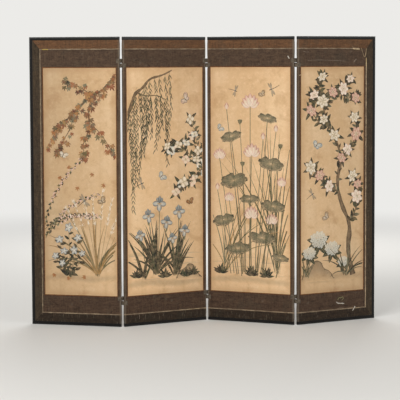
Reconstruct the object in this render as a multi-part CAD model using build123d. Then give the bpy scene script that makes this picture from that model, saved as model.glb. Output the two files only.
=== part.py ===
from build123d import *
import math
import os

# A four-panel folding screen. Millimetres, +Z up, +X along the line from end to end,
# -Y on the painted side. The origin is on the floor, at the middle of the plan.

# ---- panel sizes -------------------------------------------------------------------
panelHeight = 1700.0
panelWidth = 552.0
panelThickness = 16.0  # over the cloth on both faces
edgeRadius = 3.0  # eased upright edges of a panel, over the cloth
edgeFlats = 3  # each eased edge is planed in this many flats

# ---- how far each fold stands from flat, in degrees ---------------------------------
foldOne = 44.0  # ridge towards the front
foldTwo = 54.0  # valley
foldThree = 54.0  # ridge
flatGap = 9.0  # between two panels' edges when the screen is opened flat
closedGap = 6.6  # between two panels' faces when they are folded shut

# ---- layers, from the core outwards -------------------------------------------------
clothThickness = 0.6
silkThickness = 0.5
frontPaperThickness = 1.0
backPaperThickness = 1.0
giltThickness = 0.3
pasteLine = 0.15  # clearance under a strip that is pasted over an eased edge

# ---- lacquered rails ----------------------------------------------------------------
railWidth = 19.0  # seen from the front
railDepth = 18.0
railArris = 4.0  # radius of the two outer arrises
railInnerChamfer = 0.8
railEndChamfer = 0.8

# ---- border layout, measured from the panel's edges ----------------------------------
outerBand = 50.0  # top and bottom outer border, beyond the rail
giltWidth = 6.0
innerBand = 105.0  # top and bottom inner border, beyond the gilt line
sideOuterBand = 45.0  # outer border beside an upright rail
sideInnerBand = 14.0
foldMargin = 21.0  # cloth beside the picture at an edge that folds
clothTurnIn = 26.0  # how far the cloth runs onto the back

# ---- core ---------------------------------------------------------------------------
stileWidth = 24.0
endRailWidth = 24.0
latticeBar = 10.0
uprightCount = 3
crossbarCount = 9
tenonLength = 8.0
tenonThickness = 4.2

# ---- pins under the rails -------------------------------------------------------------
pinSize = 2.4
pinDepth = 10.0  # in the rail, and again in the core
railPinCount = 3
sideRailPinCount = 6
pinEndDistance = 60.0

# ---- crossing hinges ------------------------------------------------------------------
strapThickness = 0.6
strapHeight = 25.0
strapSpacing = 2.0
strapTab = 15.0
hingeFromEnd = 128.0  # from the top and from the bottom to each hinge
strapClearance = 0.3  # between a strap's free span and its pasted end

# ---- worked out from the above ----------------------------------------------------------
halfThickness = panelThickness / 2
underCloth = halfThickness - clothThickness
coreFront = underCloth - frontPaperThickness
coreBack = underCloth - backPaperThickness
coreRadius = edgeRadius - clothThickness
giltFromEnd = railWidth + outerBand
seamFromEnd = giltFromEnd + giltWidth / 2
seamFromSide = railWidth + sideOuterBand + giltWidth / 2
pictureFromEnd = giltFromEnd + giltWidth + innerBand
pictureFromSide = railWidth + sideOuterBand + giltWidth + sideInnerBand
pivotOut = flatGap / 2  # from a panel's edge to the fold's axis
pivotAcross = halfThickness + closedGap / 2  # from a panel's mid thickness to the axis
closingSides = (1, -1, 1)  # ridge, valley, ridge
far = 2 * panelHeight  # larger than the screen, for cutting


def block(x0, x1, y0, y1, z0, z1):
    """A box between two corners."""
    centre = Pos((x0 + x1) / 2, (y0 + y1) / 2, (z0 + z1) / 2)
    return centre * Box(x1 - x0, y1 - y0, z1 - z0)


def easedCorner(x, y, radius, start, end):
    """Points on an arc about (x, y), with a flat planed between each two of them."""
    flats = max(1, math.ceil(abs(end - start) * edgeFlats / 90))
    angles = [math.radians(start + (end - start) * i / flats) for i in range(flats + 1)]
    return [(x + radius * math.cos(a), y + radius * math.sin(a)) for a in angles]


def easedSection(x0, x1, y0, y1, radius):
    """A plan section with four eased corners."""
    points = easedCorner(x1 - radius, y1 - radius, radius, 0, 90)
    points += easedCorner(x0 + radius, y1 - radius, radius, 90, 180)
    points += easedCorner(x0 + radius, y0 + radius, radius, 180, 270)
    points += easedCorner(x1 - radius, y0 + radius, radius, 270, 360)
    return Polygon(*points, align=None)


def plateSection(x0, x1, y0, y1):
    """A plan section with square corners."""
    return Pos((x0 + x1) / 2, (y0 + y1) / 2) * Rectangle(x1 - x0, y1 - y0)


def spread(count, start, end):
    """Places that share out a run evenly, without its ends."""
    return [start + (end - start) * (i + 1) / (count + 1) for i in range(count)]


class PanelLayout:
    """Where things lie across one panel; a side with an upright rail isn't wrapped."""

    def __init__(self, railLeft, railRight):
        self.railLeft = railLeft
        self.railRight = railRight
        self.clothLeft = railWidth if railLeft else 0.0
        self.clothRight = panelWidth - (railWidth if railRight else 0.0)
        self.coreLeft = railWidth if railLeft else clothThickness
        self.coreRight = panelWidth - (railWidth if railRight else clothThickness)
        self.paperLeft = railWidth if railLeft else edgeRadius
        self.paperRight = panelWidth - (railWidth if railRight else edgeRadius)
        self.pictureLeft = pictureFromSide if railLeft else foldMargin
        self.pictureRight = panelWidth - (pictureFromSide if railRight else foldMargin)
        self.wrapLeft = -far if railLeft else 0.0
        self.wrapRight = far if railRight else panelWidth


def wrapBand(layout, inner, outer):
    """Plan section of a skin between two offsets from the cloth's face: flat over the front,
    round each folding edge and a turn-in onto the back."""
    grown = [
        easedSection(
            layout.wrapLeft - offset,
            layout.wrapRight + offset,
            -halfThickness - offset,
            halfThickness + offset,
            edgeRadius + offset,
        )
        for offset in (outer, inner)
    ]
    openFrom = -far if layout.railLeft else clothTurnIn
    openTo = far if layout.railRight else panelWidth - clothTurnIn
    backOpening = plateSection(openFrom, openTo, -underCloth, panelThickness)
    keepFrom = railWidth if layout.railLeft else -far
    keepTo = panelWidth - railWidth if layout.railRight else far
    kept = plateSection(keepFrom, keepTo, -panelThickness, panelThickness)
    return (grown[0] - grown[1] - backOpening) & kept


def borderCloths(layout):
    """Outer border along the rails, and inner border round the picture."""
    height = panelHeight - 2 * railWidth
    cloth = Pos(0, 0, railWidth) * extrude(wrapBand(layout, -clothThickness, 0), height)
    seamLeft = seamFromSide if layout.railLeft else -far
    seamRight = panelWidth - seamFromSide if layout.railRight else far
    inside = block(seamLeft, seamRight, -far, far, seamFromEnd, panelHeight - seamFromEnd)
    window = block(
        layout.pictureLeft,
        layout.pictureRight,
        -panelThickness,
        -underCloth,
        pictureFromEnd,
        panelHeight - pictureFromEnd,
    )
    return cloth - inside, (cloth & inside) - window


def giltLine(layout):
    """A narrow strip over the seam of the two cloths."""
    band = wrapBand(layout, pasteLine, pasteLine + giltThickness)
    if layout.railLeft:
        band = band & plateSection(railWidth + sideOuterBand, far, -far, far)
    if layout.railRight:
        band = band & plateSection(-far, panelWidth - railWidth - sideOuterBand, -far, far)
    low = Pos(0, 0, giltFromEnd) * extrude(band, giltWidth)
    high = Pos(0, 0, panelHeight - giltFromEnd - giltWidth) * extrude(band, giltWidth)
    line = low + high
    face = halfThickness + pasteLine
    uprights = []
    if layout.railLeft:
        uprights.append(railWidth + sideOuterBand)
    if layout.railRight:
        uprights.append(panelWidth - railWidth - sideOuterBand - giltWidth)
    for x in uprights:
        top = panelHeight - giltFromEnd
        line = line + block(x, x + giltWidth, -face - giltThickness, -face, giltFromEnd, top)
    return line


def pictureSilk(layout):
    """The painted silk in the window of the inner border."""
    return block(
        layout.pictureLeft,
        layout.pictureRight,
        -underCloth - silkThickness,
        -underCloth,
        pictureFromEnd,
        panelHeight - pictureFromEnd,
    )


def papers(layout):
    """Pasted paper on the front and on the back of the core."""
    left, right = layout.paperLeft, layout.paperRight
    low, high = railWidth, panelHeight - railWidth
    front = block(left, right, -underCloth, -coreFront, low, high)
    back = block(left, right, coreBack, underCloth, low, high)
    return front, back


def tenonPockets(places, low, high, across):
    """Blind mortises for the lattice tenons; across is the bar's own direction."""
    pockets = []
    half = latticeBar / 2
    middle = (coreBack - coreFront) / 2
    for place in places:
        for end in (low - tenonLength, high):
            y0, y1 = middle - tenonThickness / 2, middle + tenonThickness / 2
            if across == "x":
                pockets.append(block(end, end + tenonLength, y0, y1, place - half, place + half))
            else:
                pockets.append(block(place - half, place + half, y0, y1, end, end + tenonLength))
    return pockets


def coreFrame(layout, pins):
    """Two stiles and two end rails, half lapped at the corners and mortised for the lattice."""
    x0, x1 = layout.coreLeft, layout.coreRight
    roundLeft = -far if layout.railLeft else x0
    roundRight = far if layout.railRight else x1
    low, high = railWidth, panelHeight - railWidth
    section = easedSection(roundLeft, roundRight, -coreFront, coreBack, coreRadius)
    section = section & plateSection(x0, x1, -far, far)
    slab = Pos(0, 0, low) * extrude(section, high - low)
    stiles = [
        slab & block(x0, x0 + stileWidth, -far, far, low, high),
        slab & block(x1 - stileWidth, x1, -far, far, low, high),
    ]
    endRails = [
        slab & block(x0, x1, -far, far, low, low + endRailWidth),
        slab & block(x0, x1, -far, far, high - endRailWidth, high),
    ]
    middle = (coreBack - coreFront) / 2
    frontLaps = [
        block(-far, far, -far, middle, low, low + endRailWidth),
        block(-far, far, -far, middle, high - endRailWidth, high),
    ]
    backLaps = [
        block(x0, x0 + stileWidth, middle, far, low, high),
        block(x1 - stileWidth, x1, middle, far, low, high),
    ]
    innerX, innerZ = latticeOpening(layout)
    stilePockets = tenonPockets(spread(crossbarCount, *innerZ), *innerX, "x")
    railPockets = tenonPockets(spread(uprightCount, *innerX), *innerZ, "z")
    made = [stile - frontLaps - stilePockets - pins for stile in stiles]
    made += [rail - backLaps - railPockets - pins for rail in endRails]
    return made


def latticeOpening(layout):
    """The clear opening of the core frame: its two x and its two z."""
    innerX = (layout.coreLeft + stileWidth, layout.coreRight - stileWidth)
    innerZ = (railWidth + endRailWidth, panelHeight - railWidth - endRailWidth)
    return innerX, innerZ


def latticeBars(layout):
    """Uprights and crossbars, each notched to half its depth where they cross."""
    (x0, x1), (z0, z1) = latticeOpening(layout)
    xs = spread(uprightCount, x0, x1)
    zs = spread(crossbarCount, z0, z1)
    half = latticeBar / 2
    middle = (coreBack - coreFront) / 2
    tenon0, tenon1 = middle - tenonThickness / 2, middle + tenonThickness / 2
    upright = block(-half, half, -coreFront, coreBack, z0, z1)
    upright = upright + block(-half, half, tenon0, tenon1, z0 - tenonLength, z1 + tenonLength)
    upright = upright - [block(-half, half, -far, middle, z - half, z + half) for z in zs]
    crossbar = block(x0, x1, -coreFront, coreBack, -half, half)
    crossbar = crossbar + block(x0 - tenonLength, x1 + tenonLength, tenon0, tenon1, -half, half)
    crossbar = crossbar - [block(x - half, x + half, middle, far, -half, half) for x in xs]
    uprights = [Pos(x, 0, 0) * upright for x in xs]
    crossbars = [Pos(0, 0, z) * crossbar for z in zs]
    return uprights, crossbars


def railProfile():
    """Section of a lacquered rail: its outer side is +Y of the sketch, at railWidth."""
    blank = Pos(0, railWidth / 2) * Rectangle(railDepth, railWidth)
    outer = blank.vertices().group_by(Axis.Y)[-1]
    blank = fillet(outer, railArris)
    inner = blank.vertices().group_by(Axis.Y)[0]
    return chamfer(inner, railInnerChamfer)


def levelRail(layout):
    """The top rail of a panel, mitred where it meets an upright rail."""
    start = Plane(origin=(0, 0, panelHeight - railWidth), x_dir=(0, 1, 0), z_dir=(1, 0, 0))
    rail = extrude(start * railProfile(), panelWidth)
    ends = []
    if not layout.railLeft:
        ends.append(rail.faces().sort_by(Axis.X)[0])
    if not layout.railRight:
        ends.append(rail.faces().sort_by(Axis.X)[-1])
    rail = chamfer([edge for face in ends for edge in face.edges()], railEndChamfer)
    if layout.railLeft:
        rail = rail - belowMitre(0, -1)
    if layout.railRight:
        rail = rail - belowMitre(panelWidth, 1)
    return rail


def belowMitre(x, side):
    """Everything below the mitre plane of the top outer corner at x; side is -1 left, 1 right."""
    return Pos(x, 0, panelHeight) * Rot(0, -45 * side, 0) * block(-far, far, -far, far, -far, 0)


def uprightRail(side):
    """The upright rail at an outer edge, mitred at both ends; side is -1 left, 1 right."""
    edge = 0.0 if side < 0 else panelWidth
    profile = Pos(edge - side * railWidth, 0) * Rot(0, 0, -90 * side) * railProfile()
    mitred = belowMitre(edge, side)
    return extrude(profile, panelHeight) & mitred & upsideDown(mitred)


def upsideDown(shape):
    """The same shape, mirrored about the panel's mid height."""
    return mirror(shape, Plane.XY.offset(panelHeight / 2))


def railPins(layout):
    """Square pins, half in a rail and half in the core."""
    half = pinSize / 2
    middle = (coreBack - coreFront) / 2
    pins = []
    steps = railPinCount - 1
    for i in range(railPinCount):
        first, last = layout.coreLeft + pinEndDistance, layout.coreRight - pinEndDistance
        x = first + (last - first) * i / steps
        for z in (railWidth, panelHeight - railWidth):
            pins.append(
                block(x - half, x + half, middle - half, middle + half, z - pinDepth, z + pinDepth)
            )
    sides = []
    if layout.railLeft:
        sides.append(railWidth)
    if layout.railRight:
        sides.append(panelWidth - railWidth)
    for x in sides:
        for z in spread(sideRailPinCount, railWidth, panelHeight - railWidth):
            pins.append(
                block(x - pinDepth, x + pinDepth, middle - half, middle + half, z - half, z + half)
            )
    return pins


def along(heading, length):
    """A step in plan."""
    return Vector(length, 0, 0).rotate(Axis.Z, heading)


def standing():
    """Each panel's place and heading, and each fold's axis, at rest. A fold closes towards the
    back (1) where it is a ridge and towards the front (-1) where it is a valley."""
    headings = [0.0]
    corners = [Vector(0, 0, 0)]
    axes = []
    for angle, closing in zip((foldOne, foldTwo, foldThree), closingSides):
        toAxis = Vector(panelWidth + pivotOut, closing * pivotAcross, 0)
        axes.append(corners[-1] + toAxis.rotate(Axis.Z, headings[-1]))
        headings.append(headings[-1] + closing * angle)
        fromAxis = Vector(pivotOut, -closing * pivotAcross, 0)
        corners.append(axes[-1] + fromAxis.rotate(Axis.Z, headings[-1]))
    end = corners[-1] + along(headings[-1], panelWidth)
    turn = -math.degrees(math.atan2(end.Y, end.X))
    plan = []
    for corner, heading in zip(corners, headings):
        for x in (0, panelWidth):
            for y in (-railDepth / 2, railDepth / 2):
                point = corner + Vector(x, y, 0).rotate(Axis.Z, heading)
                plan.append(point.rotate(Axis.Z, turn))
    middleX = (min(p.X for p in plan) + max(p.X for p in plan)) / 2
    middleY = (min(p.Y for p in plan) + max(p.Y for p in plan)) / 2
    whole = Pos(-middleX, -middleY, 0) * Rot(0, 0, turn)
    places = [whole * Pos(c.X, c.Y, 0) * Rot(0, 0, h) for c, h in zip(corners, headings)]
    axes = [a.rotate(Axis.Z, turn) - Vector(middleX, middleY, 0) for a in axes]
    return places, [h + turn for h in headings], axes


def inPlan(place, x, y):
    """A point of a panel's plan, in the screen's own frame."""
    return (place * Pos(x, y, 0)).position


def pastedEnd(centre, faceAngle, leaveAngle, back):
    """Plan of a strap's pasted end: flat on the face, then round the edge to where it leaves."""
    near = edgeRadius + pasteLine
    inner = easedCorner(centre.X, centre.Y, near, faceAngle, leaveAngle)
    outer = easedCorner(centre.X, centre.Y, near + strapThickness, faceAngle, leaveAngle)
    innerTab = (inner[0][0] + back.X, inner[0][1] + back.Y)
    outerTab = (outer[0][0] + back.X, outer[0][1] + back.Y)
    return Polygon(innerTab, *inner, *reversed(outer), outerTab, align=None)


def crossingStrap(leftPlace, rightPlace, headings, side):
    """Plans of one strap: pasted end, free span, pasted end. It leaves the left panel's front
    (side -1) or back (side 1) and reaches the other face of the right panel. The span is the
    crossing tangent of the two rounded edges."""
    offset = halfThickness - edgeRadius
    left = inPlan(leftPlace, panelWidth - edgeRadius, side * offset)
    right = inPlan(rightPlace, edgeRadius, -side * offset)
    between = right - left
    radius = edgeRadius + pasteLine + strapThickness / 2
    toRight = math.degrees(math.atan2(between.Y, between.X))
    lean = math.degrees(math.asin(2 * radius / between.length))
    heading = toRight - side * lean
    leave = heading + side * 90
    normal = along(leave, 1)
    first = pastedEnd(left, headings[0] + side * 90, leave, along(headings[0], -strapTab))
    last = pastedEnd(right, headings[1] - side * 90, leave - 180 * side, along(headings[1], strapTab))
    start = left + normal * radius + along(heading, strapClearance)
    end = right - normal * radius - along(heading, strapClearance)
    half = normal * (strapThickness / 2)
    span = make_face(Polyline(start + half, end + half, end - half, start - half, close=True))
    return first, span, last


def hingeLevels(side):
    """The lower edge of each strap that leaves the left panel on this side."""
    step = strapHeight + strapSpacing
    nearEnd = hingeFromEnd if side > 0 else hingeFromEnd + step
    fromTop = hingeFromEnd if side < 0 else hingeFromEnd + step
    return [nearEnd, panelHeight - fromTop - strapHeight]


def raised(plan, side):
    """The straps of one side at their levels, in both hinges of a fold."""
    return [Pos(0, 0, level) * extrude(plan, strapHeight) for level in hingeLevels(side)]


def flatList(shapes):
    """The separate solids of one or several shapes."""
    shapes = shapes if isinstance(shapes, list) else [shapes]
    return [solid for shape in shapes for solid in shape.solids()]


def save(node, shapes, place=Pos(0, 0, 0)):
    """Writes one sub-part, with each of its pieces as its own solid."""
    pieces = [place * solid for solid in flatList(shapes)]
    shape = pieces[0] if len(pieces) == 1 else Compound(children=pieces)
    export_step(shape, os.path.join("parts", node + ".step"))
    print(node, len(pieces))


def hinges(places, headings):
    """Pasted ends for each panel, and the free spans of each fold. A span goes with the panel
    that holds its end on the opening side, where it turns least as the fold moves."""
    tabs = [[] for _ in places]
    spans = []
    for i, closing in enumerate(closingSides):
        carried = {"left": [], "right": []}
        for side in (-1, 1):
            plans = crossingStrap(places[i], places[i + 1], headings[i : i + 2], side)
            tabs[i] += raised(plans[0], side)
            tabs[i + 1] += raised(plans[2], side)
            carried["right" if side == closing else "left"] += raised(plans[1], side)
        spans.append(carried)
    return tabs, spans


def main():
    os.makedirs("parts", exist_ok=True)
    places, headings, axes = standing()
    last = len(places) - 1
    tabs, spans = hinges(places, headings)
    for i, axis in enumerate(axes):
        for carrier, straps in spans[i].items():
            save(f"hinge_{i + 1}_{carrier}_straps", straps)
        print(f"fold_{i + 1} axis at", round(axis.X, 3), round(axis.Y, 3))
    for i, place in enumerate(places):
        layout = PanelLayout(i == 0, i == last)
        name = f"panel_{i + 1}"
        pins = railPins(layout)
        outerBorder, innerBorder = borderCloths(layout)
        frontPaper, backPaper = papers(layout)
        uprights, crossbars = latticeBars(layout)
        topRail = levelRail(layout)
        save(name + "_core_frame", coreFrame(layout, pins), place)
        save(name + "_lattice_uprights", uprights, place)
        save(name + "_lattice_crossbars", crossbars, place)
        save(name + "_front_paper", frontPaper, place)
        save(name + "_back_paper", backPaper, place)
        save(name + "_picture_silk", pictureSilk(layout), place)
        save(name + "_inner_border", innerBorder, place)
        save(name + "_outer_border", outerBorder, place)
        save(name + "_gilt_line", giltLine(layout), place)
        save(name + "_top_rail", topRail - pins, place)
        save(name + "_bottom_rail", upsideDown(topRail) - pins, place)
        save(name + "_rail_pins", pins, place)
        save(name + "_hinge_tabs", tabs[i])
    for side, number, place in ((-1, 1, places[0]), (1, last + 1, places[last])):
        pins = railPins(PanelLayout(side < 0, side > 0))
        save(f"panel_{number}_side_rail", uprightRail(side) - pins, place)
    print("headings", [round(h, 3) for h in headings])


main()
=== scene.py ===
import math

import bpy
import numpy as np
from mathutils import Matrix


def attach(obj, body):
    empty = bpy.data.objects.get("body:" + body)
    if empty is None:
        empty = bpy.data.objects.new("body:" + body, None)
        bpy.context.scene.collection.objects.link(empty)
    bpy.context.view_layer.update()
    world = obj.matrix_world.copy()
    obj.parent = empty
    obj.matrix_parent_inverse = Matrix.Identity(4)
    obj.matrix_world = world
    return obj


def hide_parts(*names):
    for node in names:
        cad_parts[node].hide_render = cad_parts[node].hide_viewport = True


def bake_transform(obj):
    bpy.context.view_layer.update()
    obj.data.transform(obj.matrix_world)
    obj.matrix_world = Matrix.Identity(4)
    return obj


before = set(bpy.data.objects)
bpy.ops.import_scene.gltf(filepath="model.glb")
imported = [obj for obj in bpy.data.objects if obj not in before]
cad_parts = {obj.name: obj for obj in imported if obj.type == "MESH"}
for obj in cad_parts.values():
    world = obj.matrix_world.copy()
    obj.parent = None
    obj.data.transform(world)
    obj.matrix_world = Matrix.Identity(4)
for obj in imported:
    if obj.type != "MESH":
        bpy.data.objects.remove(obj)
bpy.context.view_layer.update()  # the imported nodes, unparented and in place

mm = 0.001
panelNumbers = (1, 2, 3, 4)
foldNumbers = (1, 2, 3)
bothSides = ("left", "right")
closingSide = {1: 1, 2: -1, 3: 1}  # which way a fold shuts: 1 towards the back, -1 towards the front


def linear(red, green, blue):
    # a colour as it is seen, 0 to 255, as linear light: ((c + 0.055) / 1.055) ^ 2.4
    seen = np.array([red, green, blue]) / 255
    light = np.where(seen > 0.04045, ((seen + 0.055) / 1.055) ** 2.4, seen / 12.92)
    return tuple(float(c) for c in light)


def smooth(value):
    # eases 0 to 1: 3t^2 - 2t^3
    t = np.clip(value, 0, 1)
    return t * t * (3 - 2 * t)


def ripple(u, v, seed, size):
    # an uneven field from about -1 to 1: the mean of sines in chance directions, each about size long
    waves = 7
    chance = np.random.default_rng(seed)
    angle = chance.uniform(0, 2 * math.pi, waves)
    length = size * chance.uniform(0.6, 1.6, waves)
    phase = chance.uniform(0, 2 * math.pi, waves)
    total = 0
    for a, l, p in zip(angle, length, phase):
        total = total + np.sin((u * math.cos(a) + v * math.sin(a)) * 2 * math.pi / l + p)
    return total / math.sqrt(waves) / 1.4


def nodePoints(name):
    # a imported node's vertices, in millimetres
    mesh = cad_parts[name].data
    flat = np.empty(len(mesh.vertices) * 3)
    mesh.vertices.foreach_get("co", flat)
    return flat.reshape(-1, 3) / mm


class PanelFrame:
    # A panel's own axes and sizes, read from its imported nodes: x along its width, y towards its
    # back from mid thickness, z up; all in millimetres.
    def __init__(self, number):
        self.number = number
        self.body = f"panel_{number}"
        paper = np.unique(nodePoints(f"panel_{number}_front_paper")[:, :2].round(3), axis=0)
        away = paper - paper[0]
        order = np.argsort(np.linalg.norm(away, axis=1))
        along = away[order[2]]  # the nearest corner is across the sheet, the next is along it
        along = along * np.sign(along[0]) / np.linalg.norm(along)
        self.along = along
        self.across = np.array([-along[1], along[0]])
        self.origin = np.zeros(2)
        low, high = self.nodeBox("top_rail")
        self.origin = self.along * low[0] + self.across * (low[1] + high[1]) / 2
        self.width = high[0] - low[0]
        self.height = high[2]
        self.railWidth = high[2] - low[2]
        self.railLeft = number == 1
        self.railRight = number == 4
        self.folds = [side for side, rail in (("left", self.railLeft), ("right", self.railRight)) if not rail]
        low, high = self.nodeBox("outer_border")
        self.half = (high[1] - low[1]) / 2
        self.seam = self.nodeBox("inner_border")[0][2]
        self.giltLow = self.nodeBox("gilt_line")[0][2]
        low, high = self.nodeBox("picture_silk")
        self.picture = (low[0], high[0], low[2], high[2])
        self.silkFace = low[1]
        low, high = self.nodeBox("inner_border")
        self.seamLeft, self.seamRight = low[0], high[0]

    def nodeBox(self, part):
        # lowest and highest corner of one of the panel's nodes, along the panel's own axes
        points = nodePoints(f"panel_{self.number}_{part}")
        flat = points[:, :2] - self.origin
        own = np.stack([flat @ self.along, flat @ self.across, points[:, 2]], axis=1)
        return own.min(0), own.max(0)

    def place(self, x, y, z):
        # own millimetres to the frame's metres: origin + x along + y across
        x, y, z = np.broadcast_arrays(x, y, z)
        plan = self.origin + x[..., None] * self.along + y[..., None] * self.across
        return np.concatenate([plan, z[..., None]], axis=-1) * mm

    def heading(self):
        return math.degrees(math.atan2(self.along[1], self.along[0]))


panels = {n: PanelFrame(n) for n in panelNumbers}
for p in panels.values():
    print(f"panel {p.number}: {p.width:.1f} wide, {p.height:.1f} high, heading {p.heading():.2f}")


class NodeTree:
    # Short calls for the nodes of a material or of the world.
    def __init__(self, tree):
        self.tree = tree

    def node(self, kind, **settings):
        made = self.tree.nodes.new(kind)
        for name, value in settings.items():
            setattr(made, name, value)
        return made

    def feed(self, socket, value):
        # links another node's output, or sets the socket's own value
        if isinstance(value, bpy.types.NodeSocket):
            self.tree.links.new(value, socket)
        elif isinstance(value, tuple) and len(value) == 3 and socket.type == "RGBA":
            socket.default_value = (*value, 1.0)
        else:
            socket.default_value = value

    def math(self, operation, first, second=0.0):
        made = self.node("ShaderNodeMath", operation=operation)
        self.feed(made.inputs[0], first)
        self.feed(made.inputs[1], second)
        return made.outputs[0]

    def times(self, first, second):
        return self.math("MULTIPLY", first, second)

    def shade(self, share, first, second, output):
        # sends two shaders to the output: the first where share is 0, the second where it is 1
        both = self.node("ShaderNodeMixShader")
        for socket, value in zip(both.inputs, (share, first.outputs[0], second.outputs[0])):
            self.feed(socket, value)
        self.feed(self.tree.nodes[output].inputs["Surface"], both.outputs[0])


class Finish(NodeTree):
    # A material and the nodes that the finishes share. Its patterns follow the piece's surface
    # map, or its own place in space.
    def __init__(self, name, roughness, specular=0.5, mapped=True, **settings):
        self.material = bpy.data.materials.new(name)
        self.material.use_nodes = True
        super().__init__(self.material.node_tree)
        self.shader = self.tree.nodes["Principled BSDF"]
        settings |= {"Roughness": roughness, "Specular_IOR_Level": specular}
        for socket, value in settings.items():
            self.shader.inputs[socket.replace("_", " ")].default_value = value
        if mapped:
            self.place = self.node("ShaderNodeUVMap", uv_map="surface").outputs["UV"]
        else:
            self.place = self.node("ShaderNodeTexCoord").outputs["Object"]
        apart = self.node("ShaderNodeSeparateXYZ")
        self.feed(apart.inputs[0], self.place)
        self.x, self.y, self.z = apart.outputs

    def mix(self, share, first, second, way="MIX"):
        # first where share is 0, second where it is 1
        made = self.node("ShaderNodeMix", data_type="RGBA", blend_type=way)
        for index, value in ((0, share), (6, first), (7, second)):
            self.feed(made.inputs[index], value)
        return made.outputs[2]

    def tinted(self, colour, *rules):
        # each rule is a field, its low and high, the most it brings there, and the tone it brings
        for field, low, high, most, tone in rules:
            colour = self.mix(self.span(field, low, high, 0.0, most), colour, tone)
        return colour

    def multiply(self, colour, tint, share=1.0):
        return self.mix(share, colour, tint, "MULTIPLY")

    def span(self, value, low, high, start=0.0, end=1.0):
        # start at or below low, end at or above high, and eased between
        made = self.node("ShaderNodeMapRange", interpolation_type="SMOOTHSTEP")
        for index, number in enumerate((value, low, high, start, end)):
            self.feed(made.inputs[index], number)
        return made.outputs[0]

    def noise(self, scale, detail=3.0, roughness=0.55, distortion=0.0):
        # scales for each axis in place of one draw the pattern out
        vector = self.place
        if isinstance(scale, tuple):
            drawn = self.node("ShaderNodeVectorMath", operation="MULTIPLY")
            self.feed(drawn.inputs[0], vector)
            drawn.inputs[1].default_value = (*scale, 1.0)[:3]
            vector, scale = drawn.outputs[0], 1.0
        made = self.node("ShaderNodeTexNoise")
        settings = {"Vector": vector, "Scale": scale, "Detail": detail, "Roughness": roughness,
                    "Distortion": distortion}
        for socket, value in settings.items():
            self.feed(made.inputs[socket], value)
        return made.outputs["Fac"]

    def attribute(self, name, output="Fac"):
        return self.node("ShaderNodeAttribute", attribute_name=name).outputs[output]

    def sine(self, value, pitch):
        # a wave from -1 to 1 that repeats every pitch
        return self.math("SINE", self.times(value, 2 * math.pi / pitch))

    def colour(self, value):
        self.feed(self.shader.inputs["Base Color"], value)

    def rough(self, value):
        self.feed(self.shader.inputs["Roughness"], value)

    def relief(self, height, distance):
        # distance is how far a height of 1 stands out, in metres
        made = self.node("ShaderNodeBump")
        made.inputs["Distance"].default_value = distance
        self.feed(made.inputs["Height"], height)
        self.feed(self.shader.inputs["Normal"], made.outputs[0])


def gridQuads(rows, cols):
    # quads between neighbouring rows and columns; they face the side from which the columns
    # run to the right and the rows upwards
    a = (np.arange(rows - 1)[:, None] * cols + np.arange(cols - 1)).ravel()
    return np.stack([a, a + 1, a + cols + 1, a + cols], axis=1)


def makePiece(name, points, finish, surface, fields=None, thickness=0.25, offset=-1.0, quads=None,
              rounded=True):
    # a mesh from a grid of points, or from points and quads; surface is each point's place on its
    # map, fields are named values, and the thickness is in millimetres
    quads = gridQuads(*points.shape[:2]) if quads is None else quads
    mesh = bpy.data.meshes.new(name)
    mesh.from_pydata(points.reshape(-1, 3).tolist(), [], quads.tolist())
    mesh.polygons.foreach_set("use_smooth", np.full(len(quads), rounded))
    layer = mesh.uv_layers.new(name="surface")
    layer.data.foreach_set("uv", surface.reshape(-1, 2)[quads.ravel()].ravel())
    for label, values in (fields or {}).items():
        if values.shape[-1] == 3 and values.ndim == 2:
            layer = mesh.attributes.new(label, "FLOAT_COLOR", "POINT")
            whole = np.concatenate([values, np.ones((len(values), 1))], axis=1)
            layer.data.foreach_set("color", whole.astype(np.float32).ravel())
        else:
            layer = mesh.attributes.new(label, "FLOAT", "POINT")
            layer.data.foreach_set("value", values.astype(np.float32).ravel())
    mesh.materials.append(finish.material)
    piece = bpy.data.objects.new(name, mesh)
    bpy.context.scene.collection.objects.link(piece)
    wall = piece.modifiers.new("thickness", "SOLIDIFY")
    wall.thickness = thickness * mm
    wall.offset = offset
    return piece


def flatMap(u, v, turned=False):
    # each point's place on its surface, in metres; turned swaps the two directions
    return np.stack(np.broadcast_arrays(*((v, u) if turned else (u, v))), axis=-1) * mm


def box(left, right, low, high):
    # four corners, anticlockwise from the lower left
    return [(left, low), (right, low), (right, high), (left, high)]


def between(outer, inner, side):
    # the corners of the strip that fills one side between two boxes, in the same order
    both = outer + inner
    order = {"low": (0, 1, 5, 4), "top": (7, 6, 2, 3), "left": (0, 4, 7, 3), "right": (5, 1, 2, 6)}
    return [both[k] for k in order[side]]


def steps(length, step, edges=(0.6, 1.5, 3.0)):
    # shares from 0 to 1 along a length: even steps, with closer ones at both ends
    edges = tuple(e for e in edges if e < 0.4 * length)
    inner = np.linspace(edges[-1], length - edges[-1], max(2, math.ceil(length / step)))
    ends = np.array((0.0,) + edges[:-1])
    return np.concatenate([ends, inner, length - ends[::-1]]) / length


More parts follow.
